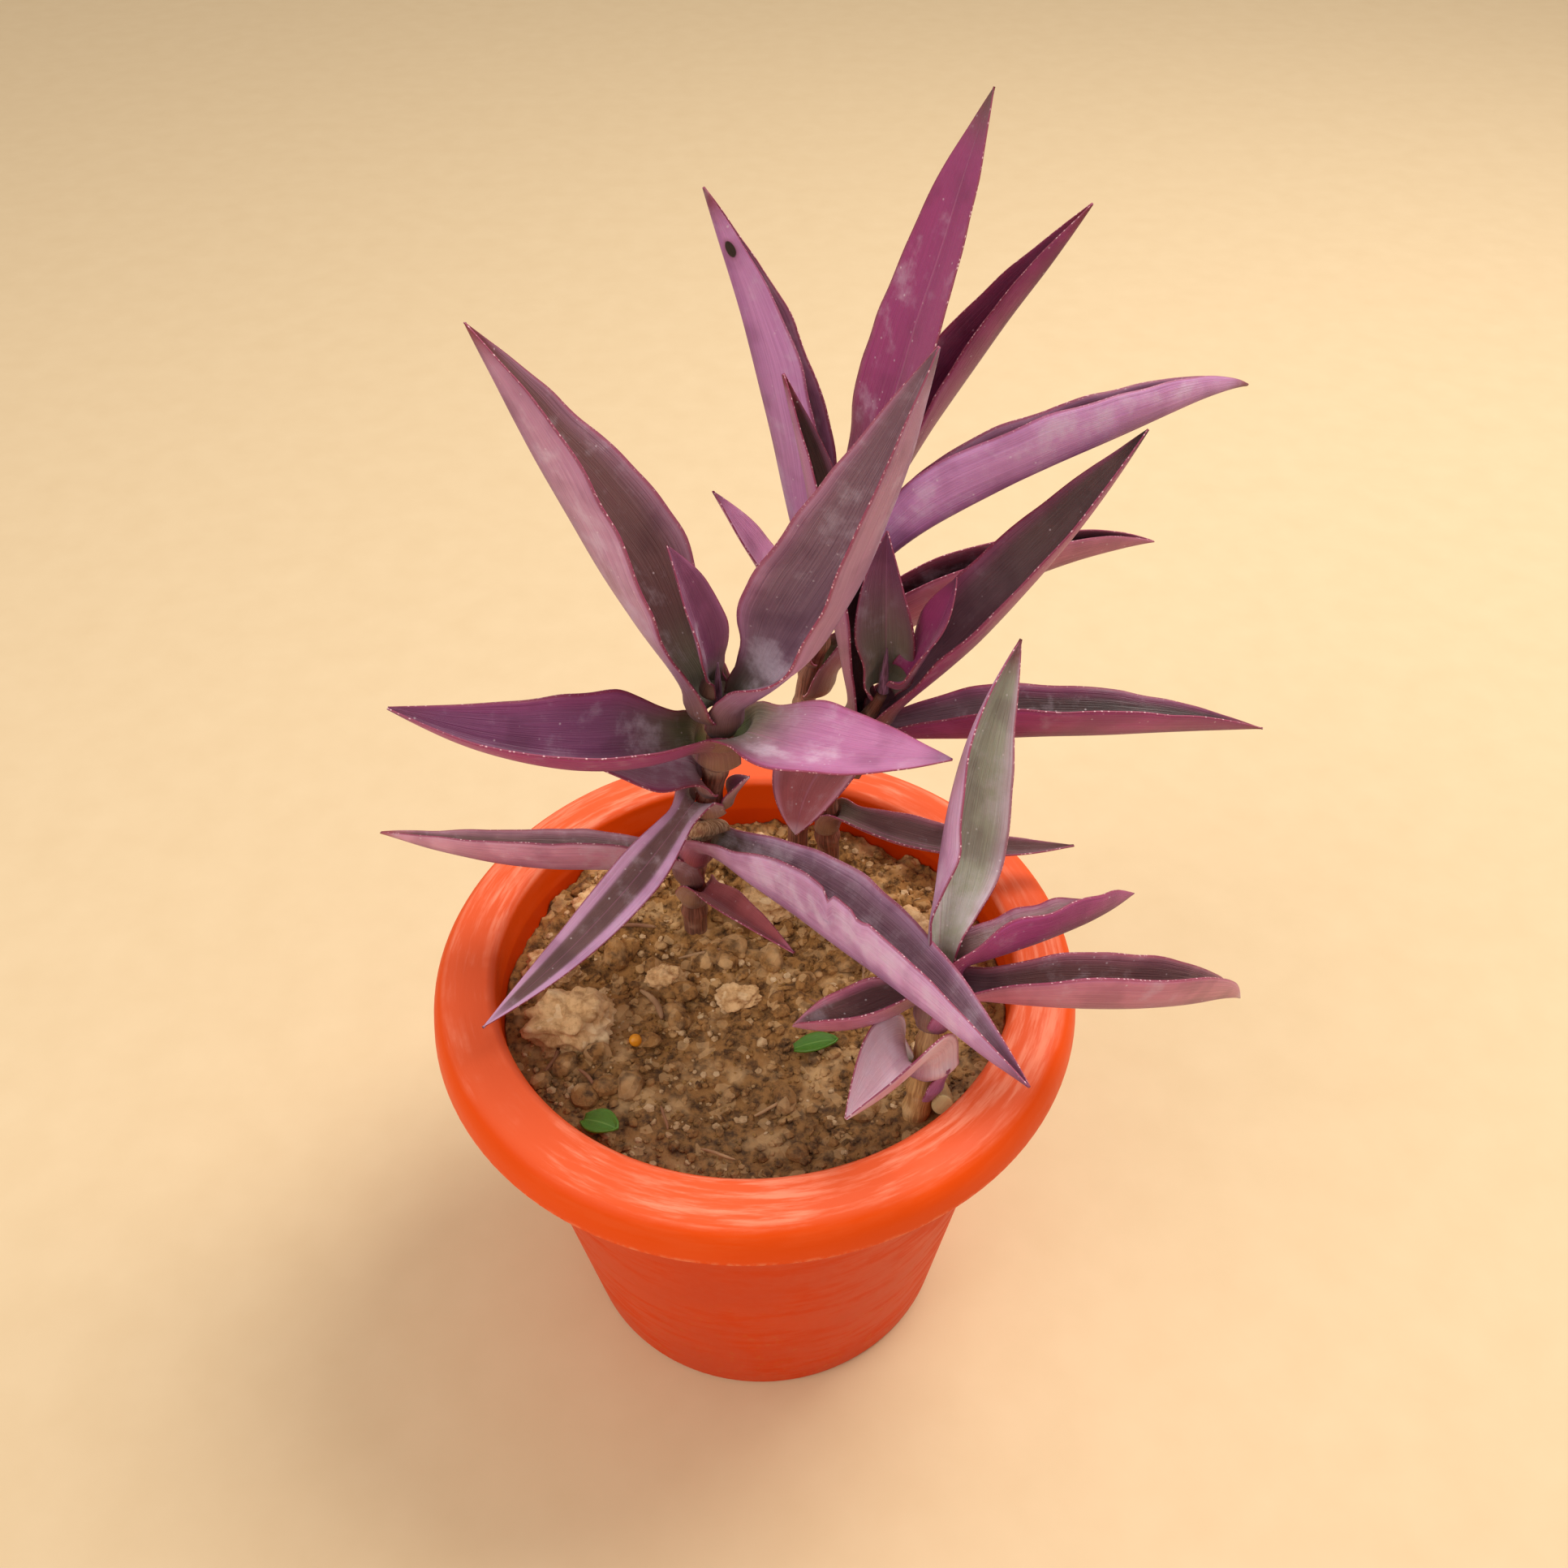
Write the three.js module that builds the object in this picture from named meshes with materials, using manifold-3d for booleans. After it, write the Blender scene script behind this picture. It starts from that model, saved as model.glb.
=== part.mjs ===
// Potted tradescantia: a plastic nursery pot of soil with three leafy shoots and one short cutting.
// Units are millimetres. The origin is the middle of the pot's base, +X is right,
// +Y is away from the viewer and +Z is up.
import * as THREE from "three";
import Module from "manifold-3d";

// ---- Driving dimensions of the pot ----
const POT_HEIGHT = 114;
const BASE_RADIUS = 48.5;
const RIM_RADIUS = 76;
const OPENING_RADIUS = 60.6;
const BAND_RADIUS = 70;
const SKIRT_HEIGHT = 10;
const WALL = 2.4;
const BODY_TOP_RADIUS = 65;
const FOOT_RECESS = 1.5;
const DRAIN_RADIUS = 4.5;
const DRAIN_CIRCLE = 30;
const DRAIN_COUNT = 5;
const POT_SEGMENTS = 64;

// ---- Driving dimensions of the soil ----
const SOIL_LEVEL = 100;
const SOIL_LUMP = 1.6;

// ---- Driving dimensions of the leaves ----
const GAP = 0.35;
const LEAF_THICKNESS = 1;
const SHEATH_HEIGHT = 4;
const BEND_LENGTH = 6;
const BASE_WIDTH_SHARE = 0.34;
const WIDEST_AT = 0.38;
const LEAF_STATIONS = 13;

const PURPLE_DARK = 0x4a3440;
const PURPLE = 0x8a5578;
const LILAC = 0xa98299;
const ORANGE = 0xe2520f;
const SOIL_BROWN = 0x5f4f40;
const TAN = 0xa88a68;
const GREEN = 0x4f9a2c;
const DRIED = 0xb28a78;

const wasm = await Module();
wasm.setup();
const group = new THREE.Group();
group.name = "potted_tradescantia";

const radians = THREE.MathUtils.degToRad;
const clamp01 = (x) => Math.min(Math.max(x, 0), 1);
const ease = (x) => clamp01(x) * clamp01(x) * (3 - 2 * clamp01(x));
const vec = (x, y, z) => new THREE.Vector3(x, y, z);

function addMesh(name, geometry, colour, roughness = 0.6) {
  const material = new THREE.MeshStandardMaterial({ color: colour, roughness, metalness: 0 });
  const mesh = new THREE.Mesh(geometry, material);
  mesh.name = name;
  group.add(mesh);
}

// ---- Closed solids from rings of points ----
function solidFromRings(rings, startCap, endCap) {
  const count = rings[0].length;
  const points = rings.flat();
  const faces = [];
  for (let i = 0; i < rings.length - 1; i += 1) {
    for (let j = 0; j < count; j += 1) {
      const a = i * count + j;
      const b = i * count + ((j + 1) % count);
      faces.push([a, b, b + count], [a, b + count, a + count]);
    }
  }
  const last = (rings.length - 1) * count;
  startCap.forEach(([a, b, c]) => faces.push([a, c, b]));
  if (endCap instanceof THREE.Vector3) {
    points.push(endCap);
    for (let j = 0; j < count; j += 1) {
      faces.push([last + j, last + ((j + 1) % count), points.length - 1]);
    }
  } else {
    endCap.forEach(([a, b, c]) => faces.push([last + a, last + b, last + c]));
  }
  return { points, faces };
}

function signedVolume({ points, faces }) {
  return faces.reduce((sum, [a, b, c]) => {
    return sum + points[a].dot(points[b].clone().cross(points[c])) / 6;
  }, 0);
}

function outward(solid) {
  if (signedVolume(solid) > 0) return solid;
  return { points: solid.points, faces: solid.faces.map(([a, b, c]) => [a, c, b]) };
}

function geometryOf(solid) {
  const facing = outward(solid);
  const geometry = new THREE.BufferGeometry();
  const flat = facing.points.flatMap((p) => [p.x, p.y, p.z]);
  geometry.setAttribute("position", new THREE.Float32BufferAttribute(flat, 3));
  geometry.setIndex(facing.faces.flat());
  return geometry;
}

function manifoldOf(solid) {
  const facing = outward(solid);
  const flat = facing.points.flatMap((p) => [p.x, p.y, p.z]);
  return new wasm.Manifold(new wasm.Mesh({
    numProp: 3,
    vertProperties: Float32Array.from(flat),
    triVerts: Uint32Array.from(facing.faces.flat()),
  }));
}

function geometryOfManifold(manifold) {
  const mesh = manifold.getMesh();
  const geometry = new THREE.BufferGeometry();
  geometry.setAttribute("position", new THREE.BufferAttribute(mesh.vertProperties, 3));
  geometry.setIndex(new THREE.BufferAttribute(mesh.triVerts, 1));
  return geometry;
}

const fan = (count) => Array.from({ length: count - 2 }, (_, i) => [0, i + 1, i + 2]);

// A solid of revolution about the Z axis from a closed outline of [radius, height] points.
function revolve(outline, segments) {
  const rings = Array.from({ length: segments }, (_, i) => {
    const turn = (2 * Math.PI * i) / segments;
    return outline.map(([r, z]) => vec(r * Math.cos(turn), r * Math.sin(turn), z));
  });
  const count = outline.length;
  const faces = [];
  for (let i = 0; i < segments; i += 1) {
    const next = (i + 1) % segments;
    for (let j = 0; j < count; j += 1) {
      const k = (j + 1) % count;
      faces.push([i * count + j, next * count + j, next * count + k]);
      faces.push([i * count + j, next * count + k, i * count + k]);
    }
  }
  return { points: rings.flat(), faces };
}

function disc(radius, bottom, top, x, y, segments) {
  const ring = (z) => Array.from({ length: segments }, (_, i) => {
    const turn = (2 * Math.PI * i) / segments;
    return vec(x + radius * Math.cos(turn), y + radius * Math.sin(turn), z);
  });
  return solidFromRings([ring(bottom), ring(top)], fan(segments), fan(segments));
}

// ---- The pot: base, tapered wall and rolled rim, with drain holes ----
const skirtEdge = POT_HEIGHT - SKIRT_HEIGHT;
const wallOutline = [
  [BASE_RADIUS - 4, 0],
  [BASE_RADIUS, 0],
  [BODY_TOP_RADIUS, skirtEdge],
  [RIM_RADIUS - 2, skirtEdge - 0.4],
  [RIM_RADIUS, skirtEdge],
  [RIM_RADIUS - 0.8, POT_HEIGHT - 4],
  [RIM_RADIUS - 2.6, POT_HEIGHT - 1.4],
  [BAND_RADIUS, POT_HEIGHT],
  [OPENING_RADIUS + 1.5, POT_HEIGHT],
  [OPENING_RADIUS, POT_HEIGHT - 1.5],
  [OPENING_RADIUS, skirtEdge - 2],
  [BASE_RADIUS - WALL, 3 + FOOT_RECESS],
  [BASE_RADIUS - 4, 3 + FOOT_RECESS],
];
const floorRadius = BASE_RADIUS - 3.9;
const potFloor = manifoldOf(disc(floorRadius, 0, 3 + FOOT_RECESS, 0, 0, POT_SEGMENTS));
const potWall = manifoldOf(revolve(wallOutline, POT_SEGMENTS));
let pot = potWall.add(potFloor);
for (let i = 0; i < DRAIN_COUNT; i += 1) {
  const turn = (2 * Math.PI * i) / DRAIN_COUNT;
  const x = DRAIN_CIRCLE * Math.cos(turn);
  const y = DRAIN_CIRCLE * Math.sin(turn);
  pot = pot.subtract(manifoldOf(disc(DRAIN_RADIUS, -1, 6, x, y, 16)));
}
addMesh("pot", geometryOfManifold(pot), ORANGE, 0.45);

// ---- Stems: each is a path through named places, thicker at its joints ----
const STEM_A = [[-15, 22, 86], [-15, 21, 108], [-14, 18, 128], [-8, 12, 158], [-6, 10, 172], [-6, 9, 186]];
const STEM_B = [[19, 47, 86], [19, 45, 104], [18, 41, 122], [20, 36, 140], [25, 30, 156], [32, 23, 178]];
const STEM_C = [[11, 46, 86], [11, 46, 104], [13, 48, 152], [17, 44, 176], [19, 42, 190], [20, 41, 200]];
const STEM_S = [[35, -36, 86], [36, -37, 104], [37.2, -36.5, 116], [38.4, -34, 128], [39, -31.5, 142]];

function stemPath(places) {
  return new THREE.CatmullRomCurve3(places.map(([x, y, z]) => vec(x, y, z)));
}

function tube(path, from, to, radiusAt, steps, sides) {
  const rings = [];
  for (let i = 0; i <= steps; i += 1) {
    const t = from + ((to - from) * i) / steps;
    const centre = path.getPoint(t);
    const along = path.getTangent(t);
    const across = vec(0, 1, 0).cross(along).normalize();
    const other = along.clone().cross(across);
    const radius = radiusAt(t);
    rings.push(Array.from({ length: sides }, (_, j) => {
      const turn = (2 * Math.PI * j) / sides;
      const offset = across.clone().multiplyScalar(radius * Math.cos(turn));
      return centre.clone().add(offset).addScaledVector(other, radius * Math.sin(turn));
    }));
  }
  return solidFromRings(rings, fan(sides), fan(sides));
}

function heightOnPath(path, z) {
  let low = 0;
  let high = 1;
  for (let i = 0; i < 30; i += 1) {
    const middle = (low + high) / 2;
    if (path.getPoint(middle).z < z) low = middle;
    else high = middle;
  }
  return low;
}

const stems = [
  { name: "stem_a", places: STEM_A, foot: 3, middle: 3.4, tip: 1.3, top: 180 },
  { name: "stem_b", places: STEM_B, foot: 3, middle: 4, tip: 1.3, top: 171 },
  { name: "stem_c", places: STEM_C, foot: 2.8, middle: 4.1, tip: 1.3, top: 190 },
  { name: "stem_s", places: STEM_S, foot: 2.7, middle: 3.7, tip: 1.5, top: 132 },
];
const sockets = [];
stems.forEach(({ name, places, foot, middle, tip, top }) => {
  const path = stemPath(places);
  const end = heightOnPath(path, top);
  const radiusAt = (t) => {
    const swelling = (middle - foot) * ease((t / end - 0.35) / 0.35);
    return foot + swelling - (middle - tip) * ease((t / end - 0.8) / 0.2);
  };
  addMesh(name, geometryOf(tube(path, 0, end, radiusAt, 10, 10)), TAN);
  const socketEnd = heightOnPath(path, SOIL_LEVEL + 8);
  const socketRadius = radiusAt(socketEnd) + GAP;
  sockets.push(manifoldOf(tube(path, 0, socketEnd, () => socketRadius, 4, 10)));
});

// ---- The soil: fills the pot to a lumpy top, with a socket round each stem ----
function soilHeight(x, y) {
  const long = Math.sin(x / 13 + 1) * Math.cos(y / 11);
  const short = Math.sin(x / 4.6) * Math.sin(y / 5.2 + 2);
  return SOIL_LEVEL + SOIL_LUMP * long + 0.5 * SOIL_LUMP * short;
}

const soilRadius = (z) => {
  const inner = BASE_RADIUS - WALL;
  const share = (z - 3 - FOOT_RECESS) / (skirtEdge - 5 - FOOT_RECESS);
  return inner + (OPENING_RADIUS - inner) * Math.min(share, 1) - GAP - 0.2;
};
const soilSides = 44;
const soilFloor = 3 + FOOT_RECESS + GAP;
function soilRing(radius, z) {
  return Array.from({ length: soilSides }, (_, j) => {
    const turn = (2 * Math.PI * j) / soilSides;
    const x = radius * Math.cos(turn);
    const y = radius * Math.sin(turn);
    return vec(x, y, z ?? soilHeight(x, y));
  });
}
const soilRings = [soilRing(soilRadius(soilFloor), soilFloor)];
const soilTopRadius = soilRadius(SOIL_LEVEL - 6);
[1, 0.9, 0.78, 0.66, 0.54, 0.42, 0.3, 0.18, 0.08].forEach((share) => {
  soilRings.push(soilRing(soilTopRadius * share));
});
let soil = manifoldOf(solidFromRings(soilRings, fan(soilSides), vec(0, 0, soilHeight(0, 0))));
sockets.forEach((socket) => {
  soil = soil.subtract(socket);
});
addMesh("soil", geometryOfManifold(soil), SOIL_BROWN, 0.95);

// ---- Lumps that lie on the soil ----
function lump(name, x, y, wide, deep, high, colour) {
  const layers = [[0, 0.72], [0.3, 1], [0.65, 0.84], [0.9, 0.45]];
  const highest = Math.max(...[0, 1, 2, 3, 4, 5, 6, 7].map((i) => {
    const turn = (Math.PI * i) / 4;
    return soilHeight(x + 0.6 * wide * Math.cos(turn) / 2, y + 0.6 * deep * Math.sin(turn) / 2);
  }), soilHeight(x, y));
  const foot = highest + GAP;
  const rings = layers.map(([up, share]) => Array.from({ length: 10 }, (_, j) => {
    const turn = (2 * Math.PI * j) / 10;
    const uneven = share * (1 + 0.12 * Math.sin(3 * turn + x) + 0.08 * Math.cos(2 * turn + y));
    const across = (wide / 2) * uneven * Math.cos(turn);
    return vec(x + across, y + (deep / 2) * uneven * Math.sin(turn), foot + up * high);
  }));
  addMesh(name, geometryOf(solidFromRings(rings, fan(10), vec(x, y, foot + high))), colour, 0.95);
}
lump("clod", -43, -10, 21, 17, 9, TAN);
lump("perlite_grain", -28, -15, 3.4, 2.8, 2, ORANGE);

// ---- The stub where the cutting was snapped off, lying against the new shoot ----
const stubFoot = soilHeight(41, -34) + 2.4 + GAP;
const stubPath = stemPath([[41, -32.5, stubFoot], [41.5, -36, stubFoot + 1.2], [41.3, -39.5, stubFoot + 2.8]]);
const stubRadius = (t) => 2.2 + 0.3 * t;
addMesh("cutting_stub", geometryOf(tube(stubPath, 0, 1, stubRadius, 4, 10)), TAN);

// ---- Leaves ----
// heading: compass of the blade from +X towards +Y. rise and end: slope at the blade's foot and tip.
// early: under 1, the slope changes mostly near the foot.
// sweep: how far the heading turns by the tip. fold: slope of each half from flat. roll: twist about
// the midrib. sheath: radius of the clasping foot. All angles are in degrees.
function halfWidth(t, width) {
  const growing = BASE_WIDTH_SHARE + (1 - BASE_WIDTH_SHARE) * ease(t / WIDEST_AT);
  const tapering = 1 - clamp01((t - WIDEST_AT) / (1 - WIDEST_AT)) ** 1.8;
  return (width / 2) * growing * tapering;
}

function midrib(start, shape, stemAlong) {
  const fine = 60;
  const step = shape.length / fine;
  const free = SHEATH_HEIGHT / shape.length;
  const bend = Math.max(0.06, BEND_LENGTH / shape.length);
  const at = start.clone();
  const result = [];
  for (let i = 0; i <= fine; i += 1) {
    const t = i / fine;
    const share = clamp01((t - free) / (1 - free));
    const compass = radians(shape.heading + shape.sweep * ease(share));
    const slope = radians(shape.rise + (shape.end - shape.rise) * share ** (shape.early ?? 1));
    const out = vec(Math.cos(compass), Math.sin(compass), 0);
    const blade = out.clone().multiplyScalar(Math.cos(slope)).setZ(Math.sin(slope));
    const along = stemAlong.clone().lerp(blade, ease((t - free) / bend)).normalize();
    const side = vec(-out.y, out.x, 0).projectOnPlane(along).normalize();
    result.push({ t, at: at.clone(), along, side });
    at.addScaledVector(along, step);
  }
  return result;
}

function leafRing(place, shape, thickness) {
  const { t, at, along } = place;
  const turn = radians(shape.roll) * ease(t / 0.4);
  const flatUp = along.clone().cross(place.side);
  const side = place.side.clone().multiplyScalar(Math.cos(turn)).addScaledVector(flatUp, Math.sin(turn));
  const up = along.clone().cross(side);
  const half = halfWidth(t, shape.width);
  const blade = ease((t - 0.03) / 0.15);
  const wrap = half / shape.sheath;
  const fold = radians(shape.fold);
  const inner = (1 - blade) * 0.25 * wrap + blade * 0.9 * fold;
  const outer = (1 - blade) * 0.75 * wrap + blade * 1.1 * fold;
  const point = (across, high) => at.clone().addScaledVector(side, across).addScaledVector(up, high);
  const midX = (half / 2) * Math.cos(inner);
  const midY = (half / 2) * Math.sin(inner);
  const edgeX = midX + (half / 2) * Math.cos(outer);
  const edgeY = midY + (half / 2) * Math.sin(outer);
  const mean = (inner + outer) / 2;
  const dropX = thickness * Math.sin(mean);
  const dropY = thickness * Math.cos(mean);
  return [
    point(edgeX, edgeY),
    point(midX, midY),
    point(0, 0),
    point(-midX, midY),
    point(-edgeX, edgeY),
    point(-midX - dropX, midY - dropY),
    point(0, -thickness / Math.cos(inner)),
    point(midX + dropX, midY - dropY),
  ];
}

const LEAF_FOOT = [[0, 1, 7], [1, 2, 6], [1, 6, 7], [2, 3, 5], [2, 5, 6], [3, 4, 5]];

function leaf(name, places, height, shape, colour = PURPLE, thickness = LEAF_THICKNESS) {
  const path = stemPath(places);
  const node = heightOnPath(path, height);
  const stemAlong = path.getTangent(node);
  const compass = radians(shape.heading);
  const out = vec(Math.cos(compass), Math.sin(compass), 0).projectOnPlane(stemAlong).normalize();
  const start = path.getPoint(node).addScaledVector(out, shape.sheath);
  const places3d = midrib(start, shape, stemAlong);
  const rings = [];
  for (let i = 0; i < LEAF_STATIONS; i += 1) {
    const t = (i / LEAF_STATIONS) ** 1.2 * 0.985;
    const place = places3d[Math.round(t * 60)];
    rings.push(leafRing(place, shape, thickness * (1 - 0.5 * t)));
  }
  const tip = places3d[60].at;
  addMesh(name, geometryOf(solidFromRings(rings, LEAF_FOOT, tip)), colour, 0.5);
}

// Leaves of the front left shoot, from the lowest up
leaf("leaf_a7", STEM_A, 112, { sheath: 4.2, heading: 296, rise: 30, end: 14, sweep: 12,
  length: 52, width: 10, fold: 42, roll: 0 });
leaf("leaf_e", STEM_A, 120, { sheath: 4.4, heading: 205, rise: 22, end: -4, sweep: -50,
  length: 80, width: 21, fold: 50, roll: 30 });
leaf("leaf_h", STEM_A, 128.6, {
  sheath: 4.4, heading: 311, rise: 3, end: 19, sweep: -10,
  length: 115, width: 31, fold: 64, roll: -26.5 }, LILAC);
leaf("leaf_f", STEM_A, 148, {
  sheath: 4.78, heading: 228.82, rise: -28, end: -25.88, sweep: -18,
  length: 75.23, width: 11.25, fold: 19.78, roll: -27.24 }, LILAC);
leaf("leaf_a6", STEM_A, 155.91, {
  sheath: 4.27, heading: 184.47, rise: 18.97, end: 37.73, sweep: 16.84,
  length: 50.12, width: 26.98, fold: 10.54, roll: -5.74 });
leaf("leaf_a1", STEM_A, 165.27, {
  sheath: 5.85, heading: 222, rise: 14, end: 34, sweep: -45,
  length: 76.77, width: 30.55, fold: 53, roll: -8.19 });
leaf("leaf_a2", STEM_A, 171.22, {
  sheath: 6.22, heading: 319.51, rise: 12, end: 10.69, sweep: 26,
  length: 55, width: 24.45, fold: 16, roll: 0 }, LILAC);
leaf("leaf_a5", STEM_A, 175.18, {
  sheath: 4.83, heading: -23.32, rise: 16.01, end: 79.81, sweep: -11,
  length: 106.05, width: 35.93, fold: 57.34, roll: 52.9, early: 0.3 }, PURPLE_DARK);
leaf("leaf_a3", STEM_A, 179, {
  sheath: 6.58, heading: 163.28, rise: 39.41, end: 74, sweep: 40.52,
  length: 95.5, width: 37.75, fold: 43.93, roll: -5.54, early: 0.3 }, LILAC);
leaf("leaf_a4", STEM_A, 189, {
  sheath: 1.7, heading: 160, rise: 78, end: 74, sweep: 5,
  length: 35, width: 16, fold: 24, roll: 0 });

// Leaves of the rear right shoot
leaf("leaf_d", STEM_B, 115, { sheath: 3.9, heading: 322, rise: 2, end: -4, sweep: 52,
  length: 69, width: 13, fold: 45, roll: 6 }, PURPLE_DARK);
leaf("leaf_b7", STEM_B, 141, {
  sheath: 4.4, heading: 230, rise: 10, end: -60, sweep: 20,
  length: 28, width: 22, fold: 24, roll: 0 });
leaf("leaf_b1", STEM_B, 151, {
  sheath: 4.8, heading: 343, rise: 18, end: -17, sweep: 34,
  length: 99, width: 25, fold: 51, roll: -16 });
leaf("leaf_b2", STEM_B, 157, { sheath: 5, heading: 150, rise: 79, end: 77, sweep: 4,
  length: 86, width: 19, fold: 50, roll: 0 });
leaf("leaf_b5", STEM_B, 161, {
  sheath: 5, heading: 0, rise: 46, end: 61, sweep: 14,
  length: 89, width: 27, fold: 41, roll: -1 }, PURPLE_DARK);
leaf("leaf_b3", STEM_B, 171, { sheath: 4.8, heading: 112, rise: 86, end: 82, sweep: -20,
  length: 38, width: 16, fold: 40, roll: -24 }, PURPLE_DARK);
leaf("leaf_b4", STEM_B, 181, { sheath: 3.4, heading: 350, rise: 66, end: 76, sweep: 40,
  length: 29, width: 14, fold: 24, roll: 0 });

// Leaves of the rear middle shoot
leaf("leaf_b6", STEM_C, 155, { sheath: 6, heading: 2, rise: 42, end: -10, sweep: 22,
  length: 92, width: 26, fold: 80, roll: 6 }, LILAC);
leaf("leaf_c6", STEM_C, 166, { sheath: 4.8, heading: 173, rise: 64, end: 62, sweep: 0,
  length: 48, width: 17, fold: 22, roll: 0 }, LILAC);
leaf("leaf_c3", STEM_C, 180, {
  sheath: 7, heading: 143.8, rise: 79, end: 75, sweep: 53,
  length: 96, width: 27, fold: 82, roll: -14 }, LILAC);
leaf("leaf_c4", STEM_C, 183.7, {
  sheath: 6, heading: 335, rise: 61, end: -18, sweep: 70,
  length: 117, width: 24, fold: 80, roll: -17 }, LILAC);
leaf("leaf_c2", STEM_C, 187.5, {
  sheath: 4.21, heading: 39.7, rise: 50.2, end: 61.57, sweep: -58.4,
  length: 97, width: 22, fold: 67.38, roll: 20 });
leaf("leaf_c1", STEM_C, 195, {
  sheath: 2.5, heading: 10, rise: 76, end: 70, sweep: 22,
  length: 101, width: 26, fold: 12, roll: 0 });

// Leaves of the cutting
leaf("leaf_s5", STEM_S, 116.5, {
  sheath: 6.62, heading: 234.8, rise: 10.58, end: 1.97, sweep: -14.5,
  length: 29.09, width: 24.21, fold: 58.16, roll: 10.28 }, LILAC);
leaf("leaf_s4", STEM_S, 129, {
  sheath: 4.17, heading: 202.19, rise: -21.62, end: -30.65, sweep: -60.15,
  length: 38, width: 19.25, fold: 68, roll: -5.75 }, PURPLE_DARK);
leaf("leaf_s3", STEM_S, 129, {
  sheath: 5.02, heading: 350, rise: 8, end: -46, sweep: 56.27,
  length: 90, width: 23, fold: 70, roll: -10 });
leaf("leaf_s2", STEM_S, 137, { sheath: 4.6, heading: 3, rise: 22, end: -22, sweep: 46,
  length: 54, width: 19, fold: 50, roll: -43 });
leaf("leaf_s1", STEM_S, 140.5, { sheath: 2.6, heading: 87, rise: 50, end: 48, sweep: -41,
  length: 73, width: 26, fold: 56, roll: 56 }, LILAC);

// ---- Growing tips: the rolled young leaf in the middle of each rosette ----
function growingTip(name, x, y, from, to, radius) {
  const path = stemPath([[x, y, from], [x, y, (from + to) / 2], [x + 0.5, y, to]]);
  const taper = (t) => radius * (1.05 - t) ** 0.7;
  addMesh(name, geometryOf(tube(path, 0, 1, taper, 5, 8)), PURPLE);
}
growingTip("growing_tip_a", -6, 9, 180.5, 193, 1.3);
growingTip("growing_tip_b", 30, 25, 172, 184, 1.3);
growingTip("growing_tip_c", 19, 42, 191, 205, 1.2);
growingTip("growing_tip_s", 38.8, -32.4, 133, 147, 1.4);

// ---- Small growth: a side bud, dried sheaths and two seedlings in the soil ----
leaf("side_bud", STEM_S, 110, { sheath: 4.3, heading: 325, rise: 60, end: 80, sweep: 0,
  length: 11, width: 6, fold: 30, roll: 0 });
leaf("dried_sheath", STEM_A, 140, { sheath: 4, heading: 262, rise: 64, end: 70, sweep: 0,
  length: 9, width: 11, fold: 24, roll: 0 }, DRIED, 0.7);
leaf("dried_bract", STEM_A, 149, { sheath: 5.2, heading: 345, rise: 60, end: 60, sweep: 0,
  length: 14, width: 8, fold: 50, roll: 0 }, DRIED, 0.7);

function seedling(name, x, y, heading, length, width) {
  const turn = radians(heading);
  const path = stemPath([
    [x, y, soilHeight(x, y) + 1.4],
    [x + 0.5 * length * Math.cos(turn), y + 0.5 * length * Math.sin(turn), soilHeight(x, y) + 3.4],
    [x + length * Math.cos(turn), y + length * Math.sin(turn), soilHeight(x, y) + 2.6],
  ]);
  const rings = [];
  for (let i = 0; i <= 6; i += 1) {
    const t = i / 6;
    const half = 0.4 + (width / 2) * Math.sin(Math.PI * clamp01(0.05 + 0.9 * t));
    const centre = path.getPoint(t);
    const side = vec(-Math.sin(turn), Math.cos(turn), 0);
    rings.push([1, 0, -1, 0].map((across, k) => {
      return centre.clone().addScaledVector(side, across * half).setZ(centre.z + [0, 0.4, 0, -0.4][k]);
    }));
  }
  addMesh(name, geometryOf(solidFromRings(rings, fan(4), fan(4))), GREEN);
}
seedling("seedling_left", -38, -38, 10, 8, 5);
seedling("seedling_middle", 9, -18, 5, 9, 4);

export default group;
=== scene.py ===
import math
import random

import bmesh
import bpy
from mathutils import Matrix, Vector, noise


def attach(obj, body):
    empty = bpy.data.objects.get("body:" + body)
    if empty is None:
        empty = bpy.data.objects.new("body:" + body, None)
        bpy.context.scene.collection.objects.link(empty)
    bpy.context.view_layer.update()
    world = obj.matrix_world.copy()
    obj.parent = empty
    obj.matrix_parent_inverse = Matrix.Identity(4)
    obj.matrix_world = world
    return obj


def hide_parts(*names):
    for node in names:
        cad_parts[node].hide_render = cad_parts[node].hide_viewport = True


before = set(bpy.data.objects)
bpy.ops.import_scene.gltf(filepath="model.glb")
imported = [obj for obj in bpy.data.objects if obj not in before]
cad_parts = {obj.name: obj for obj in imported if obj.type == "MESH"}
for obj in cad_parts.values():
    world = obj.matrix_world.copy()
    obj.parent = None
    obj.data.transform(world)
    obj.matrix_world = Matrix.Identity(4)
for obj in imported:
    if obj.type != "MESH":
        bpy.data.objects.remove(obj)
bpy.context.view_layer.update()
scene = bpy.context.scene

# ---- Camera ----
# It stands in front of the pot and looks steeply down on the plant, with a slight tilt
# to one side. Its place is in metres, and its angles are in degrees.
EYE = (0.00768, -0.24011, 0.38366)
LOOK_DOWN = 42.016
TILT = -0.897

camera_data = bpy.data.cameras.new("camera")
camera_data.lens = 35
camera_data.sensor_width = 36
camera_data.clip_start = 0.01
camera = bpy.data.objects.new("camera", camera_data)
camera.matrix_world = (
    Matrix.Translation(EYE)
    @ Matrix.Rotation(math.radians(90 - LOOK_DOWN), 4, "X")
    @ Matrix.Rotation(math.radians(TILT), 4, "Z")
)
scene.collection.objects.link(camera)
scene.camera = camera
scene.view_settings.view_transform = "Standard"

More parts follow.
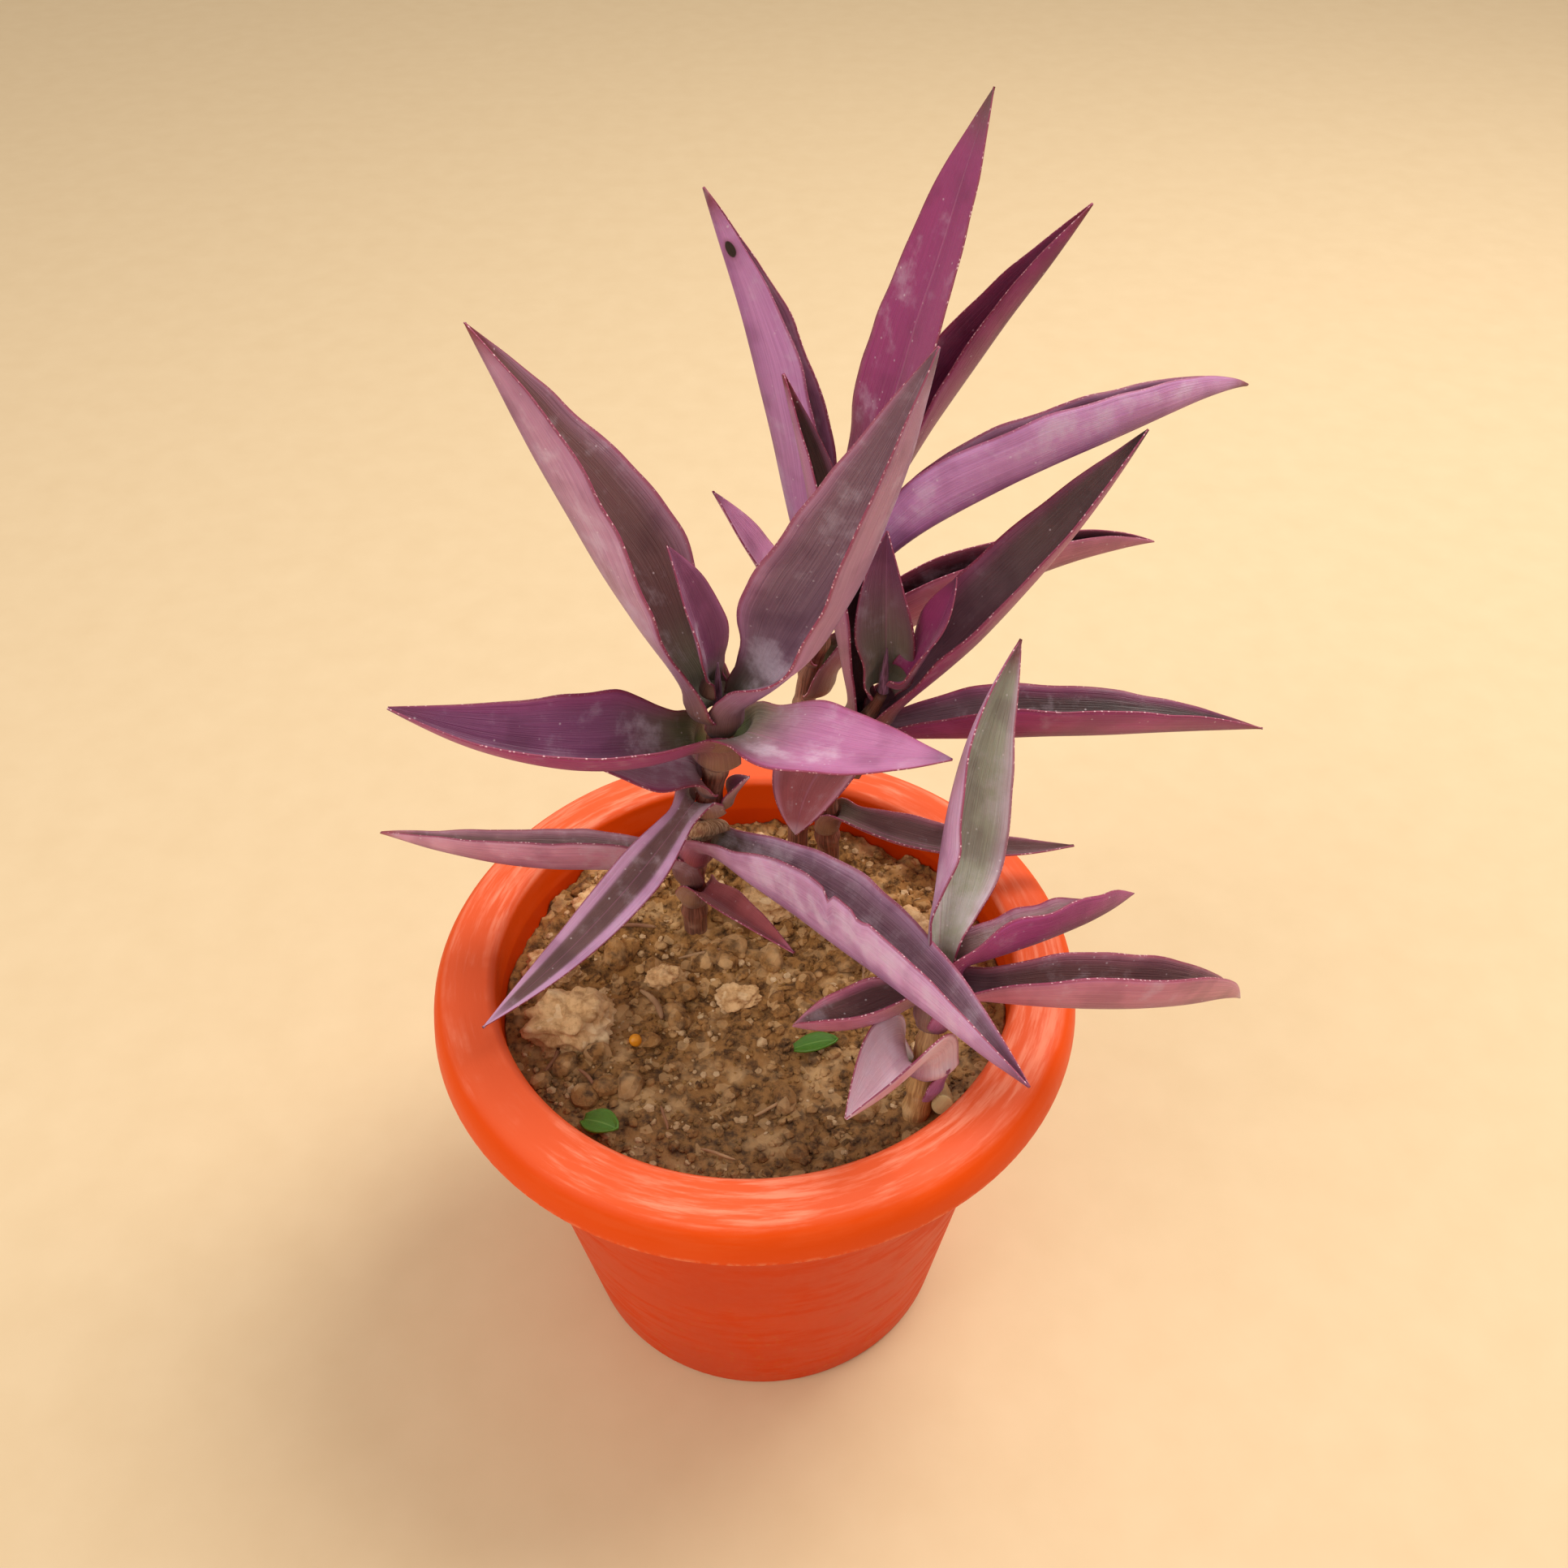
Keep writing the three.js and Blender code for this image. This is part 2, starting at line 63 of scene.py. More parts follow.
# ---- Pot ----
# A moulded nursery pot of orange plastic: one spun wall with a broad rolled rim that hangs
# over the tapered body, and a floor with a ring of drain holes. The rim is scuffed and dusty.
# The rim is painted a lighter orange than the body, as if lit from above, and its flat top
# carries a painted pinkish-white sheen in streaks along the scuffs.
# Shapes are drawn in millimetres, and colours are placed in metres.
MM = 0.001
POT_HEIGHT = 114
POT_SIDES = 128
POT_WAVE = 0.25
POT_WAVE_LENGTH = 60
POT_WAVE_RADIUS = 70
FLOOR_TOP = 4.5
FLOOR_EDGE = 44.5
DRAIN_RADIUS = 4.5
DRAIN_CIRCLE = 30
DRAIN_COUNT = 5
DRAIN_SIDES = 28
RING_NEAR = 0.05
POT_PROFILE = [
    (FLOOR_EDGE, 0), (48.5, 0), (65, 104), (74, 103.6), (76, 104), (75.2, 110),
    (73.4, 112.6), (70, POT_HEIGHT), (62.1, POT_HEIGHT), (60.6, 112.5), (60.6, 102),
    (46.1, FLOOR_TOP), (FLOOR_EDGE, FLOOR_TOP),
]
# (radius, height) of the profile's corners that are rounded, and by how much
POT_ROUNDING = [(48.5, 0, 1.4), (65, 104, 0.5), (74, 103.6, 0.5), (76, 104, 0.6),
                (75.2, 110, 1.6), (73.4, 112.6, 1.2), (70, POT_HEIGHT, 2.2),
                (62.1, POT_HEIGHT, 0.7), (60.6, 112.5, 0.7)]
# Where the painted lighter colour of the rim, the painted sheen of its top, the colour of its
# outer lip and the dust on the body start and are full, in metres of height or of radius
RIM_HEIGHTS = (0.1035, 0.105)
TOP_HEIGHTS = (0.1120, 0.1136)
LIP_RADII = (0.0746, 0.0756)
LIP_HEIGHTS = (0.1042, 0.1056)
DUST_HEIGHTS = (0.02, 0.075)


def tone(red, green, blue):
    """A colour as a screen shows it, from 0 to 255, turned into light."""
    light = [((c / 255 + 0.055) / 1.055) ** 2.4 for c in (red, green, blue)]
    return (*light, 1.0)


class Wire:
    """One output of a material's node, which takes part in sums as a number does."""

    def __init__(self, skin, socket):
        self.skin = skin
        self.socket = socket

    def sum(self, operation, first, second=0.0):
        return self.skin.node("ShaderNodeMath", {"operation": operation},
                              {0: first, 1: second})

    def __add__(self, other):
        return self.sum("ADD", self, other)

    def __sub__(self, other):
        return self.sum("SUBTRACT", self, other)

    def __rsub__(self, other):
        return self.sum("SUBTRACT", other, self)

    def __mul__(self, other):
        return self.sum("MULTIPLY", self, other)

    def __truediv__(self, other):
        return self.sum("DIVIDE", self, other)

    def __abs__(self):
        return self.sum("ABSOLUTE", self)

    __radd__ = __add__


class Skin:
    """A material, with one method that makes each of its nodes."""

    def __init__(self, name, **values):
        self.material = bpy.data.materials.new(name)
        self.material.use_nodes = True
        self.tree = self.material.node_tree
        self.shader = self.tree.nodes["Principled BSDF"]
        for socket, value in values.items():
            self.shader.inputs[socket.replace("_", " ")].default_value = value

    def feed(self, socket, value):
        if isinstance(value, Wire):
            self.tree.links.new(value.socket, socket)
        else:
            socket.default_value = value

    def node(self, kind, settings=None, inputs=None, output=0):
        made = self.tree.nodes.new(kind)
        for setting, value in (settings or {}).items():
            setattr(made, setting, value)
        for socket, value in (inputs or {}).items():
            self.feed(made.inputs[socket], value)
        return Wire(self, made.outputs[output])

    def coords(self, output="Object"):
        return self.node("ShaderNodeTexCoord", output=output)

    def part(self, vector, axis):
        return self.node("ShaderNodeSeparateXYZ", inputs={0: vector}, output=axis)

    def join(self, x, y, z):
        return self.node("ShaderNodeCombineXYZ", inputs={0: x, 1: y, 2: z})

    def stretch(self, vector, scale):
        return self.node("ShaderNodeMapping", inputs={"Vector": vector, "Scale": scale})

    def cloud(self, vector, scale, detail=3.0, rough=0.55):
        return self.node("ShaderNodeTexNoise", inputs={
            "Vector": vector, "Scale": scale, "Detail": detail, "Roughness": rough})

    def cells(self, vector, scale, output="Distance"):
        return self.node("ShaderNodeTexVoronoi", inputs={
            "Vector": vector, "Scale": scale}, output=output)

    def step(self, value, low, high):
        return self.node("ShaderNodeMapRange", {"interpolation_type": "SMOOTHSTEP"}, {
            "Value": value, "From Min": low, "From Max": high})

    def blend(self, factor, first, second, mode="MIX"):
        settings = {"data_type": "RGBA", "blend_type": mode}
        return self.node("ShaderNodeMix", settings, {0: factor, 6: first, 7: second}, 2)

    def bump(self, height, strength, distance):
        return self.node("ShaderNodeBump", inputs={
            "Height": height, "Strength": strength, "Distance": distance})

    def paint(self, **wires):
        for socket, value in wires.items():
            self.feed(self.shader.inputs[socket.replace("_", " ")], value)
        return self.material


def finish_piece(name, bm, materials, slot, *nodes):
    """Makes an object of a mesh in millimetres, which rides on the one body."""
    bm.transform(Matrix.Scale(MM, 4))
    mesh = bpy.data.meshes.new(name)
    bm.to_mesh(mesh)
    bm.free()
    for polygon in mesh.polygons:
        polygon.use_smooth = True
    for material in materials:
        mesh.materials.append(material)
    made = bpy.data.objects.new(name, mesh)
    scene.collection.objects.link(made)
    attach(made, "root")
    if nodes:
        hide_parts(*nodes)
    return made


def loop_at(bm, radius, height):
    """The edges of the ring of a spun shape at that radius and height."""
    def on_ring(vert):
        return (abs(vert.co.xy.length - radius) < RING_NEAR
                and abs(vert.co.z - height) < RING_NEAR)
    return [edge for edge in bm.edges if all(on_ring(vert) for vert in edge.verts)]


def drain_ring(bm, height):
    """Round edges for the drain holes at one height."""
    rings = []
    for i in range(DRAIN_COUNT):
        turn = 2 * math.pi * i / DRAIN_COUNT
        place = (DRAIN_CIRCLE * math.cos(turn), DRAIN_CIRCLE * math.sin(turn), height)
        circle = bmesh.ops.create_circle(
            bm, segments=DRAIN_SIDES, radius=DRAIN_RADIUS, matrix=Matrix.Translation(place))
        rings.append(list({edge for vert in circle["verts"] for edge in vert.link_edges}))
    return rings


bm = bmesh.new()
profile = [bm.verts.new((radius, 0, height)) for radius, height in POT_PROFILE]
outline = [bm.edges.new(pair) for pair in zip(profile, profile[1:])]
bmesh.ops.spin(bm, geom=profile + outline, axis=(0, 0, 1), cent=(0, 0, 0),
               angle=2 * math.pi, steps=POT_SIDES, use_merge=True)
for radius, height, rounding in POT_ROUNDING:
    bmesh.ops.bevel(bm, geom=loop_at(bm, radius, height), offset=rounding, segments=3,
                    profile=0.5, affect="EDGES", material=-1)
lower_holes = drain_ring(bm, 0)
upper_holes = drain_ring(bm, FLOOR_TOP)
for height, holes in ((0, lower_holes), (FLOOR_TOP, upper_holes)):
    edges = loop_at(bm, FLOOR_EDGE, height) + [edge for hole in holes for edge in hole]
    bmesh.ops.triangle_fill(bm, edges=edges, use_beauty=True, normal=(0, 0, 1))
for lower, upper in zip(lower_holes, upper_holes):
    bmesh.ops.bridge_loops(bm, edges=lower + upper)
bmesh.ops.recalc_face_normals(bm, faces=bm.faces)
for vert in bm.verts:
    if vert.co.z > 1:
        wave = POT_WAVE * noise.noise(vert.co / POT_WAVE_LENGTH)
        vert.co.xy *= 1 + wave / POT_WAVE_RADIUS

plastic = Skin("orange_plastic", Roughness=0.42, Specular_IOR_Level=0.12)
spot = plastic.coords()
across_x, across_y, up = (plastic.part(spot, axis) for axis in (0, 1, 2))
radius = plastic.node("ShaderNodeVectorMath", {"operation": "LENGTH"},
                      {0: plastic.join(across_x, across_y, 0.0)}, "Value")
round_x, round_y = across_x / radius, across_y / radius
rim = plastic.step(up, *RIM_HEIGHTS)
rim_top = plastic.step(up, *TOP_HEIGHTS)
lip = plastic.step(radius, *LIP_RADII) * (1 - plastic.step(up, *LIP_HEIGHTS))
streaks = plastic.node("ShaderNodeTexNoise", {"noise_dimensions": "4D"}, {
    "Vector": plastic.join(round_x * 3.2, round_y * 3.2, radius * 520), "W": up * 260,
    "Scale": 1.0, "Detail": 5.0, "Roughness": 0.62})
patches = plastic.cloud(spot, 38.0, 4.0)
dust = plastic.cloud(spot, 420.0, 4.0, 0.7)
# Scuffs on the rim. Their streaks also place the painted sheen on its flat top.
scuff_and_sheen = plastic.step(streaks, 0.44, 0.64) * plastic.step(patches, 0.34, 0.58)
colour = plastic.blend(patches, tone(204, 56, 0), tone(226, 70, 0))
# Painted light: the rim is a lighter orange than the body, as if lit from above.
colour = plastic.blend(rim * 0.6, colour, tone(240, 82, 0))
# Painted pinkish-white sheen on the rim's flat top, strongest along the scuffs.
colour = plastic.blend(rim_top * (0.16 + scuff_and_sheen * 0.6), colour, tone(255, 160, 130))
# Lighter orange along the rim's scuffs, partly real wear and partly painted sheen.
colour = plastic.blend(scuff_and_sheen * rim * 0.1, colour, tone(244, 130, 84))
colour = plastic.blend(lip * plastic.step(dust, 0.42, 0.62) * 0.7, colour,
                       tone(240, 140, 100))
low_dust = plastic.step(dust, 0.56, 0.72) * (1 - plastic.step(up, *DUST_HEIGHTS))
colour = plastic.blend(low_dust * 0.35, colour, tone(214, 140, 76))
pot_material = plastic.paint(
    Base_Color=colour,
    Roughness=0.34 + scuff_and_sheen * 0.22 + dust * 0.16,
    Normal=plastic.bump(dust * 0.4 + streaks * rim_top, 0.25, 0.0004))
finish_piece("pot_shell", bm, [pot_material], "orange_plastic", "pot")

# ---- Soil ----
# A plug of potting soil that fills the pot to a finger below the rim: a lumpy crust, darker
# and less rough towards the front, with loose crumbs, grit and bits of dry root that lie on
# it.
SOIL_LEVEL = 100
SOIL_LUMP = 1.6
SOIL_EDGE = 60
SOIL_FLOOR = 4.9
SOIL_FLOOR_EDGE = 45.4
SOIL_GRID = 190
# Where the crust starts to be coarser towards the back, and over what depth
REAR_FROM = -25
REAR_DEPTH = 60
# Where the soil starts to be darker towards the front and where it is fully so, in metres
DARK_FROM = 0.03
DARK_FULL = -0.035


def soil_height(x, y):
    """The soil's height in two crossing swells, long and short."""
    long = math.sin(x / 13 + 1) * math.cos(y / 11)
    short = math.sin(x / 4.6) * math.sin(y / 5.2 + 2)
    return SOIL_LEVEL + SOIL_LUMP * (long + 0.5 * short)


def soil_crust(x, y):
    """The soil's height with its crumbly crust, coarser towards the back."""
    rear = min(max((y - REAR_FROM) / REAR_DEPTH, 0), 1)
    spot = Vector((x, y, 0))
    coarse = noise.fractal(spot / 9, 0.8, 2.1, 4) * (0.6 + 1.7 * rear)
    pits = noise.turbulence(spot / 5 + Vector((3, 7, 1)), 3, True) * (0.7 + 1.1 * rear)
    fine = noise.fractal(spot / 1.9, 0.9, 2.2, 3) * 0.28
    return soil_height(x, y) + coarse - pits + fine


def dusty_earth(name, dark, middle, pale):
    """Earth in three tones, mixed by grains of several sizes."""
    earth = Skin(name, Roughness=0.95)
    spot = earth.coords()
    # Darker and a little less rough towards the front.
    toward_front = earth.step(earth.part(spot, 1) + earth.cloud(spot, 60.0) * 0.03,
                      DARK_FROM, DARK_FULL)
    grain = earth.cloud(spot, 340.0, 6.0, 0.72)
    lump = earth.cloud(spot, 110.0, 3.0)
    pick = earth.part(earth.cells(spot, 420.0, "Color"), 0)
    colour = earth.blend(earth.step(grain, 0.34, 0.6), dark, middle)
    colour = earth.blend(earth.step(lump, 0.5, 0.72) * 0.75, colour, pale)
    colour = earth.blend(earth.step(pick, 0.82, 0.92) * 0.5, colour, pale)
    colour = earth.blend(toward_front * 0.34, colour, tone(58, 36, 20), "MULTIPLY")
    return earth.paint(
        Base_Color=colour,
        Roughness=0.95 - toward_front * 0.2,
        Normal=earth.bump(grain, 0.6, 0.0012))


bm = bmesh.new()
bmesh.ops.create_grid(bm, x_segments=SOIL_GRID, y_segments=SOIL_GRID, size=1)
for vert in bm.verts:
    u, v = vert.co.x, vert.co.y
    x = SOIL_EDGE * u * math.sqrt(1 - v * v / 2)
    y = SOIL_EDGE * v * math.sqrt(1 - u * u / 2)
    vert.co = (x, y, soil_crust(x, y))
rim_edges = [edge for edge in bm.edges if edge.is_boundary]
skirt = bmesh.ops.extrude_edge_only(bm, edges=rim_edges)["geom"]
for vert in (part for part in skirt if isinstance(part, bmesh.types.BMVert)):
    vert.co.xy *= SOIL_FLOOR_EDGE / vert.co.xy.length
    vert.co.z = SOIL_FLOOR
bmesh.ops.holes_fill(bm, edges=[edge for edge in bm.edges if edge.is_boundary])
bmesh.ops.recalc_face_normals(bm, faces=bm.faces)
soil_material = dusty_earth("potting_soil", tone(84, 54, 24), tone(170, 122, 66),
                            tone(226, 184, 130))
finish_piece("soil_plug", bm, [soil_material], "potting_soil", "soil")

# Loose crumbs and grit: many small faceted lumps, pressed a little into the crust. Each
# kind has a count, its smallest and largest size, and how finely it is divided.
CRUMB_KINDS = [
    ("grit", 1500, 0.5, 1.4, 1), ("crumbs", 1300, 1.2, 3.0, 1), ("lumps", 230, 2.8, 7.5, 2),
    ("pale_bits", 420, 0.8, 2.8, 1),
]
CRUMB_SPREAD = 57
CRUMB_LIFT = 0.1
CRUMB_ROUGH = 0.3
STEM_FEET = [(-15, 21), (19, 45), (11, 46), (36, -37)]
STEM_CLEAR = 5
crumb_random = random.Random(7)


def crumb(bm, x, y, size, detail, draw):
    """One irregular lump that rests in the crust."""
    squeeze = Vector((draw.uniform(0.7, 1.2), draw.uniform(0.7, 1.2), draw.uniform(0.5, 0.9)))
    turned = Matrix.Rotation(draw.uniform(0, math.pi), 4, "Z") @ Matrix.Rotation(
        draw.uniform(-0.5, 0.5), 4, "X")
    made = bmesh.ops.create_icosphere(bm, subdivisions=detail, radius=size / 2)
    foot = Vector((x, y, soil_crust(x, y) + size * CRUMB_LIFT))
    seed = Vector((draw.uniform(0, 50), draw.uniform(0, 50), 0))
    for vert in made["verts"]:
        rough = 1 + CRUMB_ROUGH * noise.noise(vert.co * 2.2 / size + seed)
        vert.co = turned @ (vert.co * squeeze * rough) + foot


crumb_skins = {
    "grit": dusty_earth("dark_grit", tone(82, 54, 18), tone(152, 108, 48), tone(206, 162, 98)),
    "pale_bits": dusty_earth("pale_grit", tone(176, 138, 92), tone(224, 188, 142),
                             tone(236, 208, 166)),
}
for kind, count, smallest, largest, detail in CRUMB_KINDS:
    bm = bmesh.new()
    for _ in range(count):
        reach = CRUMB_SPREAD * math.sqrt(crumb_random.random())
        turn = crumb_random.uniform(0, 2 * math.pi)
        x, y = reach * math.cos(turn), reach * math.sin(turn)
        size = smallest + (largest - smallest) * crumb_random.random() ** 2
        rear = (y + CRUMB_SPREAD) / (2 * CRUMB_SPREAD)
        if kind == "lumps" and crumb_random.random() > 0.25 + rear:
            continue
        if any(math.dist((x, y), foot) < STEM_CLEAR for foot in STEM_FEET):
            continue
        crumb(bm, x, y, size, detail, crumb_random)
    skin = crumb_skins.get(kind, soil_material)
    made = finish_piece("soil_" + kind, bm, [skin], "potting_soil")
    for polygon in made.data.polygons:
        polygon.use_smooth = False

# Dry clods: the big tan one at the left, and the smaller ones that lie near it and behind.
# Each has its place, its width, its depth and its height in millimetres.
CLODS = [
    ("clod_big", -43, -10, 20, 16.5, 10, ["clod"]), ("clod_left", -50, 8, 13, 10, 6, []),
    ("clod_rear", -38, 26, 15, 11, 7, []), ("clod_middle", -22, 4, 9, 7, 5, []),
    ("clod_flat", -4, -3, 10, 7, 4, []), ("clod_far", 2, 28, 14, 11, 6, []),
    ("clod_far_right", 38, 20, 12, 9, 5, []), ("clod_side", -29, 34, 10, 9, 6, []),
]
CLOD_ROUGH = 0.4
CLOD_MIDDLE = 0.3
CLOD_RISE = 0.62
clod_material = dusty_earth("dry_clod", tone(190, 144, 92), tone(238, 196, 142),
                            tone(250, 222, 178))
for name, x, y, wide, deep, high, nodes in CLODS:
    bm = bmesh.new()
    bmesh.ops.create_icosphere(bm, subdivisions=5, radius=1)
    foot = soil_height(x, y)
    for vert in bm.verts:
        spot = vert.co.copy()
        rough = 1 + CLOD_ROUGH * noise.fractal(
            spot * 1.5 + Vector((x, y, 0)), 0.85, 2.1, 5)
        vert.co = Vector((x + spot.x * rough * wide / 2, y + spot.y * rough * deep / 2,
                          foot + high * (CLOD_MIDDLE + CLOD_RISE * spot.z * rough)))
    finish_piece(name, bm, [clod_material], "dry_clod", *nodes)

# Bits of dry root and straw on the soil: thin bent sticks, tan, pinkish or pale. Each has its
# middle, the way it points in degrees, its length and its thickness in millimetres.
STICKS = [
    (-25, -4, 300, 11, 1.5), (-38, -27, 320, 7, 0.9), (-12, 12, 20, 14, 0.8),
    (-47, -20, 75, 8, 1.1), (18, -8, 140, 12, 0.7), (4, -34, 15, 9, 0.8),
    (28, 8, 70, 13, 0.9), (-30, 20, 10, 10, 1.0), (-8, -47, 170, 8, 0.7),
    (24, -30, 40, 7, 0.8), (-2, 38, 100, 12, 0.9), (-20, -38, 95, 6, 0.7),
]
STICK_BOW = 0.1
STICK_LIFT = 0.8
STICK_KNOTS = 0.25


def place_on_grid(bm, along_steps, across_steps, place):
    """A sheet of quads with its UVs, each corner moved by its place along and across."""
    bmesh.ops.create_grid(bm, x_segments=along_steps, y_segments=across_steps, size=1)
    layer = bm.loops.layers.uv.new("UVMap")
    for face in bm.faces:
        for loop in face.loops:
            loop[layer].uv = ((loop.vert.co.x + 1) / 2, (loop.vert.co.y + 1) / 2)
    for vert in bm.verts:
        vert.co = place((vert.co.x + 1) / 2, vert.co.y)


def round_rod(bm, middle_at, along_at, radius_at, along_steps, sides):
    """A rod along a path, closed at both ends."""
    def place(share, around):
        along = along_at(share)
        across = Vector((0, 1, 0)).cross(along)
        if across.length < 0.1:
            across = Vector((1, 0, 0)).cross(along)
        across.normalize()
        turn = math.pi * around
        spoke = across * math.cos(turn) + along.cross(across) * math.sin(turn)
        return middle_at(share) + spoke * radius_at(share, turn)
    place_on_grid(bm, along_steps, sides, place)
    bmesh.ops.remove_doubles(bm, verts=bm.verts, dist=0.001)
    bmesh.ops.holes_fill(bm, edges=[edge for edge in bm.edges if edge.is_boundary])
    bmesh.ops.recalc_face_normals(bm, faces=bm.faces)


stick_skin = Skin("dry_root", Roughness=0.8)
spot = stick_skin.coords()
fibre = stick_skin.cloud(spot, 700.0, 4.0, 0.7)
patch = stick_skin.cloud(spot, 45.0, 2.0)
colour = stick_skin.blend(stick_skin.step(patch, 0.42, 0.58), tone(150, 104, 74),
                          tone(196, 158, 116))
colour = stick_skin.blend(fibre * 0.5, colour, tone(96, 64, 46))
stick_material = stick_skin.paint(Base_Color=colour,
                                  Normal=stick_skin.bump(fibre, 0.5, 0.0006))
for i, (x, y, way, length, thick) in enumerate(STICKS):
    heading = Vector((math.cos(math.radians(way)), math.sin(math.radians(way)), 0))
    sideways = Vector((-heading.y, heading.x, 0))

    def stick_middle(share):
        reach = (share - 0.5) * length
        bow = STICK_BOW * length * math.sin(3 * share + i)
        flat = Vector((x, y, 0)) + heading * reach + sideways * bow
        lift = STICK_LIFT + 0.5 * thick
        return Vector((flat.x, flat.y, soil_height(flat.x, flat.y) + lift))

    def stick_along(share):
        return (stick_middle(share + 0.01) - stick_middle(share - 0.01)).normalized()

    def stick_radius(share, turn):
        knot = 1 + STICK_KNOTS * noise.noise(
            Vector((share * 6, math.cos(turn), math.sin(turn) + i)))
        return 0.5 * thick * knot * (1 - 0.5 * abs(2 * share - 1) ** 4)

    bm = bmesh.new()
    round_rod(bm, stick_middle, stick_along, stick_radius, 14, 8)
    finish_piece("dry_root_%d" % (i + 1), bm, [stick_material], "dry_clod")

# A round orange grain of slow feed on the soil, and two green seedlings: each seedling is
# drawn as one small rounded leaf that lies nearly flat.
GRAIN_PLACE = (-28, -15)
GRAIN_WIDTH = 3.0
GRAIN_MIDDLE = 0.45
GRAIN_DENT = 0.08
bm = bmesh.new()
bmesh.ops.create_icosphere(bm, subdivisions=4, radius=GRAIN_WIDTH / 2)
grain_foot = soil_height(*GRAIN_PLACE)
for vert in bm.verts:
    dent = 1 + GRAIN_DENT * noise.noise(vert.co * 0.9)
    vert.co = vert.co * dent + Vector((*GRAIN_PLACE, grain_foot + GRAIN_MIDDLE * GRAIN_WIDTH))
grain = Skin("orange_grain", Roughness=0.45, Subsurface_Weight=0.1)
mottle = grain.cloud(grain.coords(), 900.0, 3.0)
grain_material = grain.paint(
    Base_Color=grain.blend(mottle, tone(224, 120, 10), tone(248, 170, 30)),
    Normal=grain.bump(mottle, 0.3, 0.0004))
finish_piece("feed_grain", bm, [grain_material], "orange_grain", "perlite_grain")

# (CAD node, foot, way it points, length, width) of each seedling
SEEDLINGS = [("seedling_left", (-38, -38), -28, 9, 6.5),
             ("seedling_middle", (9, -18), 4, 10, 5)]
SEEDLING_LIFT = 1.6
SEEDLING_ARCH = 2.2
SEEDLING_CUP = 0.12
SEEDLING_THICK = 0.5
seedling_skin = Skin("seedling_green", Roughness=0.42, Subsurface_Weight=0.12)
seedling_uv = seedling_skin.coords("UV")
ribs = seedling_skin.cloud(seedling_skin.stretch(seedling_uv, (2, 16, 1)), 3.0)
middle = abs(seedling_skin.part(seedling_uv, 1) - 0.5)
colour = seedling_skin.blend(ribs, tone(34, 86, 18), tone(84, 140, 34))
colour = seedling_skin.blend((1 - seedling_skin.step(middle, 0.0, 0.05)) * 0.5, colour,
                             tone(134, 172, 84))
seedling_material = seedling_skin.paint(
    Base_Color=colour, Normal=seedling_skin.bump(ribs, 0.4, 0.0005))
for name, (x, y), way, length, width in SEEDLINGS:
    heading = Vector((math.cos(math.radians(way)), math.sin(math.radians(way)), 0))
    sideways = Vector((-heading.y, heading.x, 0))
    start = Vector((x, y, soil_height(x, y) + SEEDLING_LIFT))

    def seedling_place(share, across):
        half = width / 2 * math.sin(math.pi * min(0.06 + 0.94 * share, 1)) ** 0.7
        lift = SEEDLING_ARCH * math.sin(1.9 * share) + SEEDLING_CUP * width * across * across
        flat = start + heading * share * length + sideways * across * half
        return flat + Vector((0, 0, lift))

    bm = bmesh.new()
    place_on_grid(bm, 18, 10, seedling_place)
    bmesh.ops.remove_doubles(bm, verts=bm.verts, dist=0.001)
    made = finish_piece("green_" + name, bm, [seedling_material], "weed_leaf", name)
    made.modifiers.new("thickness", "SOLIDIFY").thickness = SEEDLING_THICK * MM

# ---- Shoots ----
# Four upright shoots: soft jointed stems, tan to red brown, that swell at each joint. All
# but the cutting at the front right lean a little forward.
SHOOTS = {
    "a": [(-15, 22, 86), (-15, 21, 108), (-14, 18, 128), (-8, 12, 158), (-6, 10, 172),
          (-6, 9, 186)],
    "b": [(19, 47, 86), (19, 45, 104), (18, 41, 122), (20, 36, 140), (25, 30, 156),
          (32, 23, 178)],
    "c": [(11, 46, 86), (11, 46, 104), (13, 48, 152), (17, 44, 176), (19, 42, 190),
          (20, 41, 200)],
    "s": [(35, -36, 86), (36, -37, 104), (37.2, -36.5, 116), (38.4, -34, 128),
          (39, -31.5, 142)],
}
# Each shoot's radius at the soil and further up, the height of its top, and its joints
SHOOT_SIZES = {
    "a": (3.0, 2.4, 180, [112, 120, 130, 141, 150, 157, 167, 172, 177]),
    "b": (3.0, 2.4, 171, [115, 128, 141, 151, 157, 161]),
    "c": (2.8, 2.2, 190, [118, 136, 155, 166, 176, 182]),
    "s": (2.9, 2.6, 132, [109, 116, 122, 126, 129]),
}
JOINT_SWELL = 0.55
JOINT_DROP = 5
JOINT_LENGTH = 1.7
STEM_END_RADIUS = 1.2


def ease(share):
    """A smooth step from 0 to 1."""
    share = min(max(share, 0), 1)
    return share * share * (3 - 2 * share)


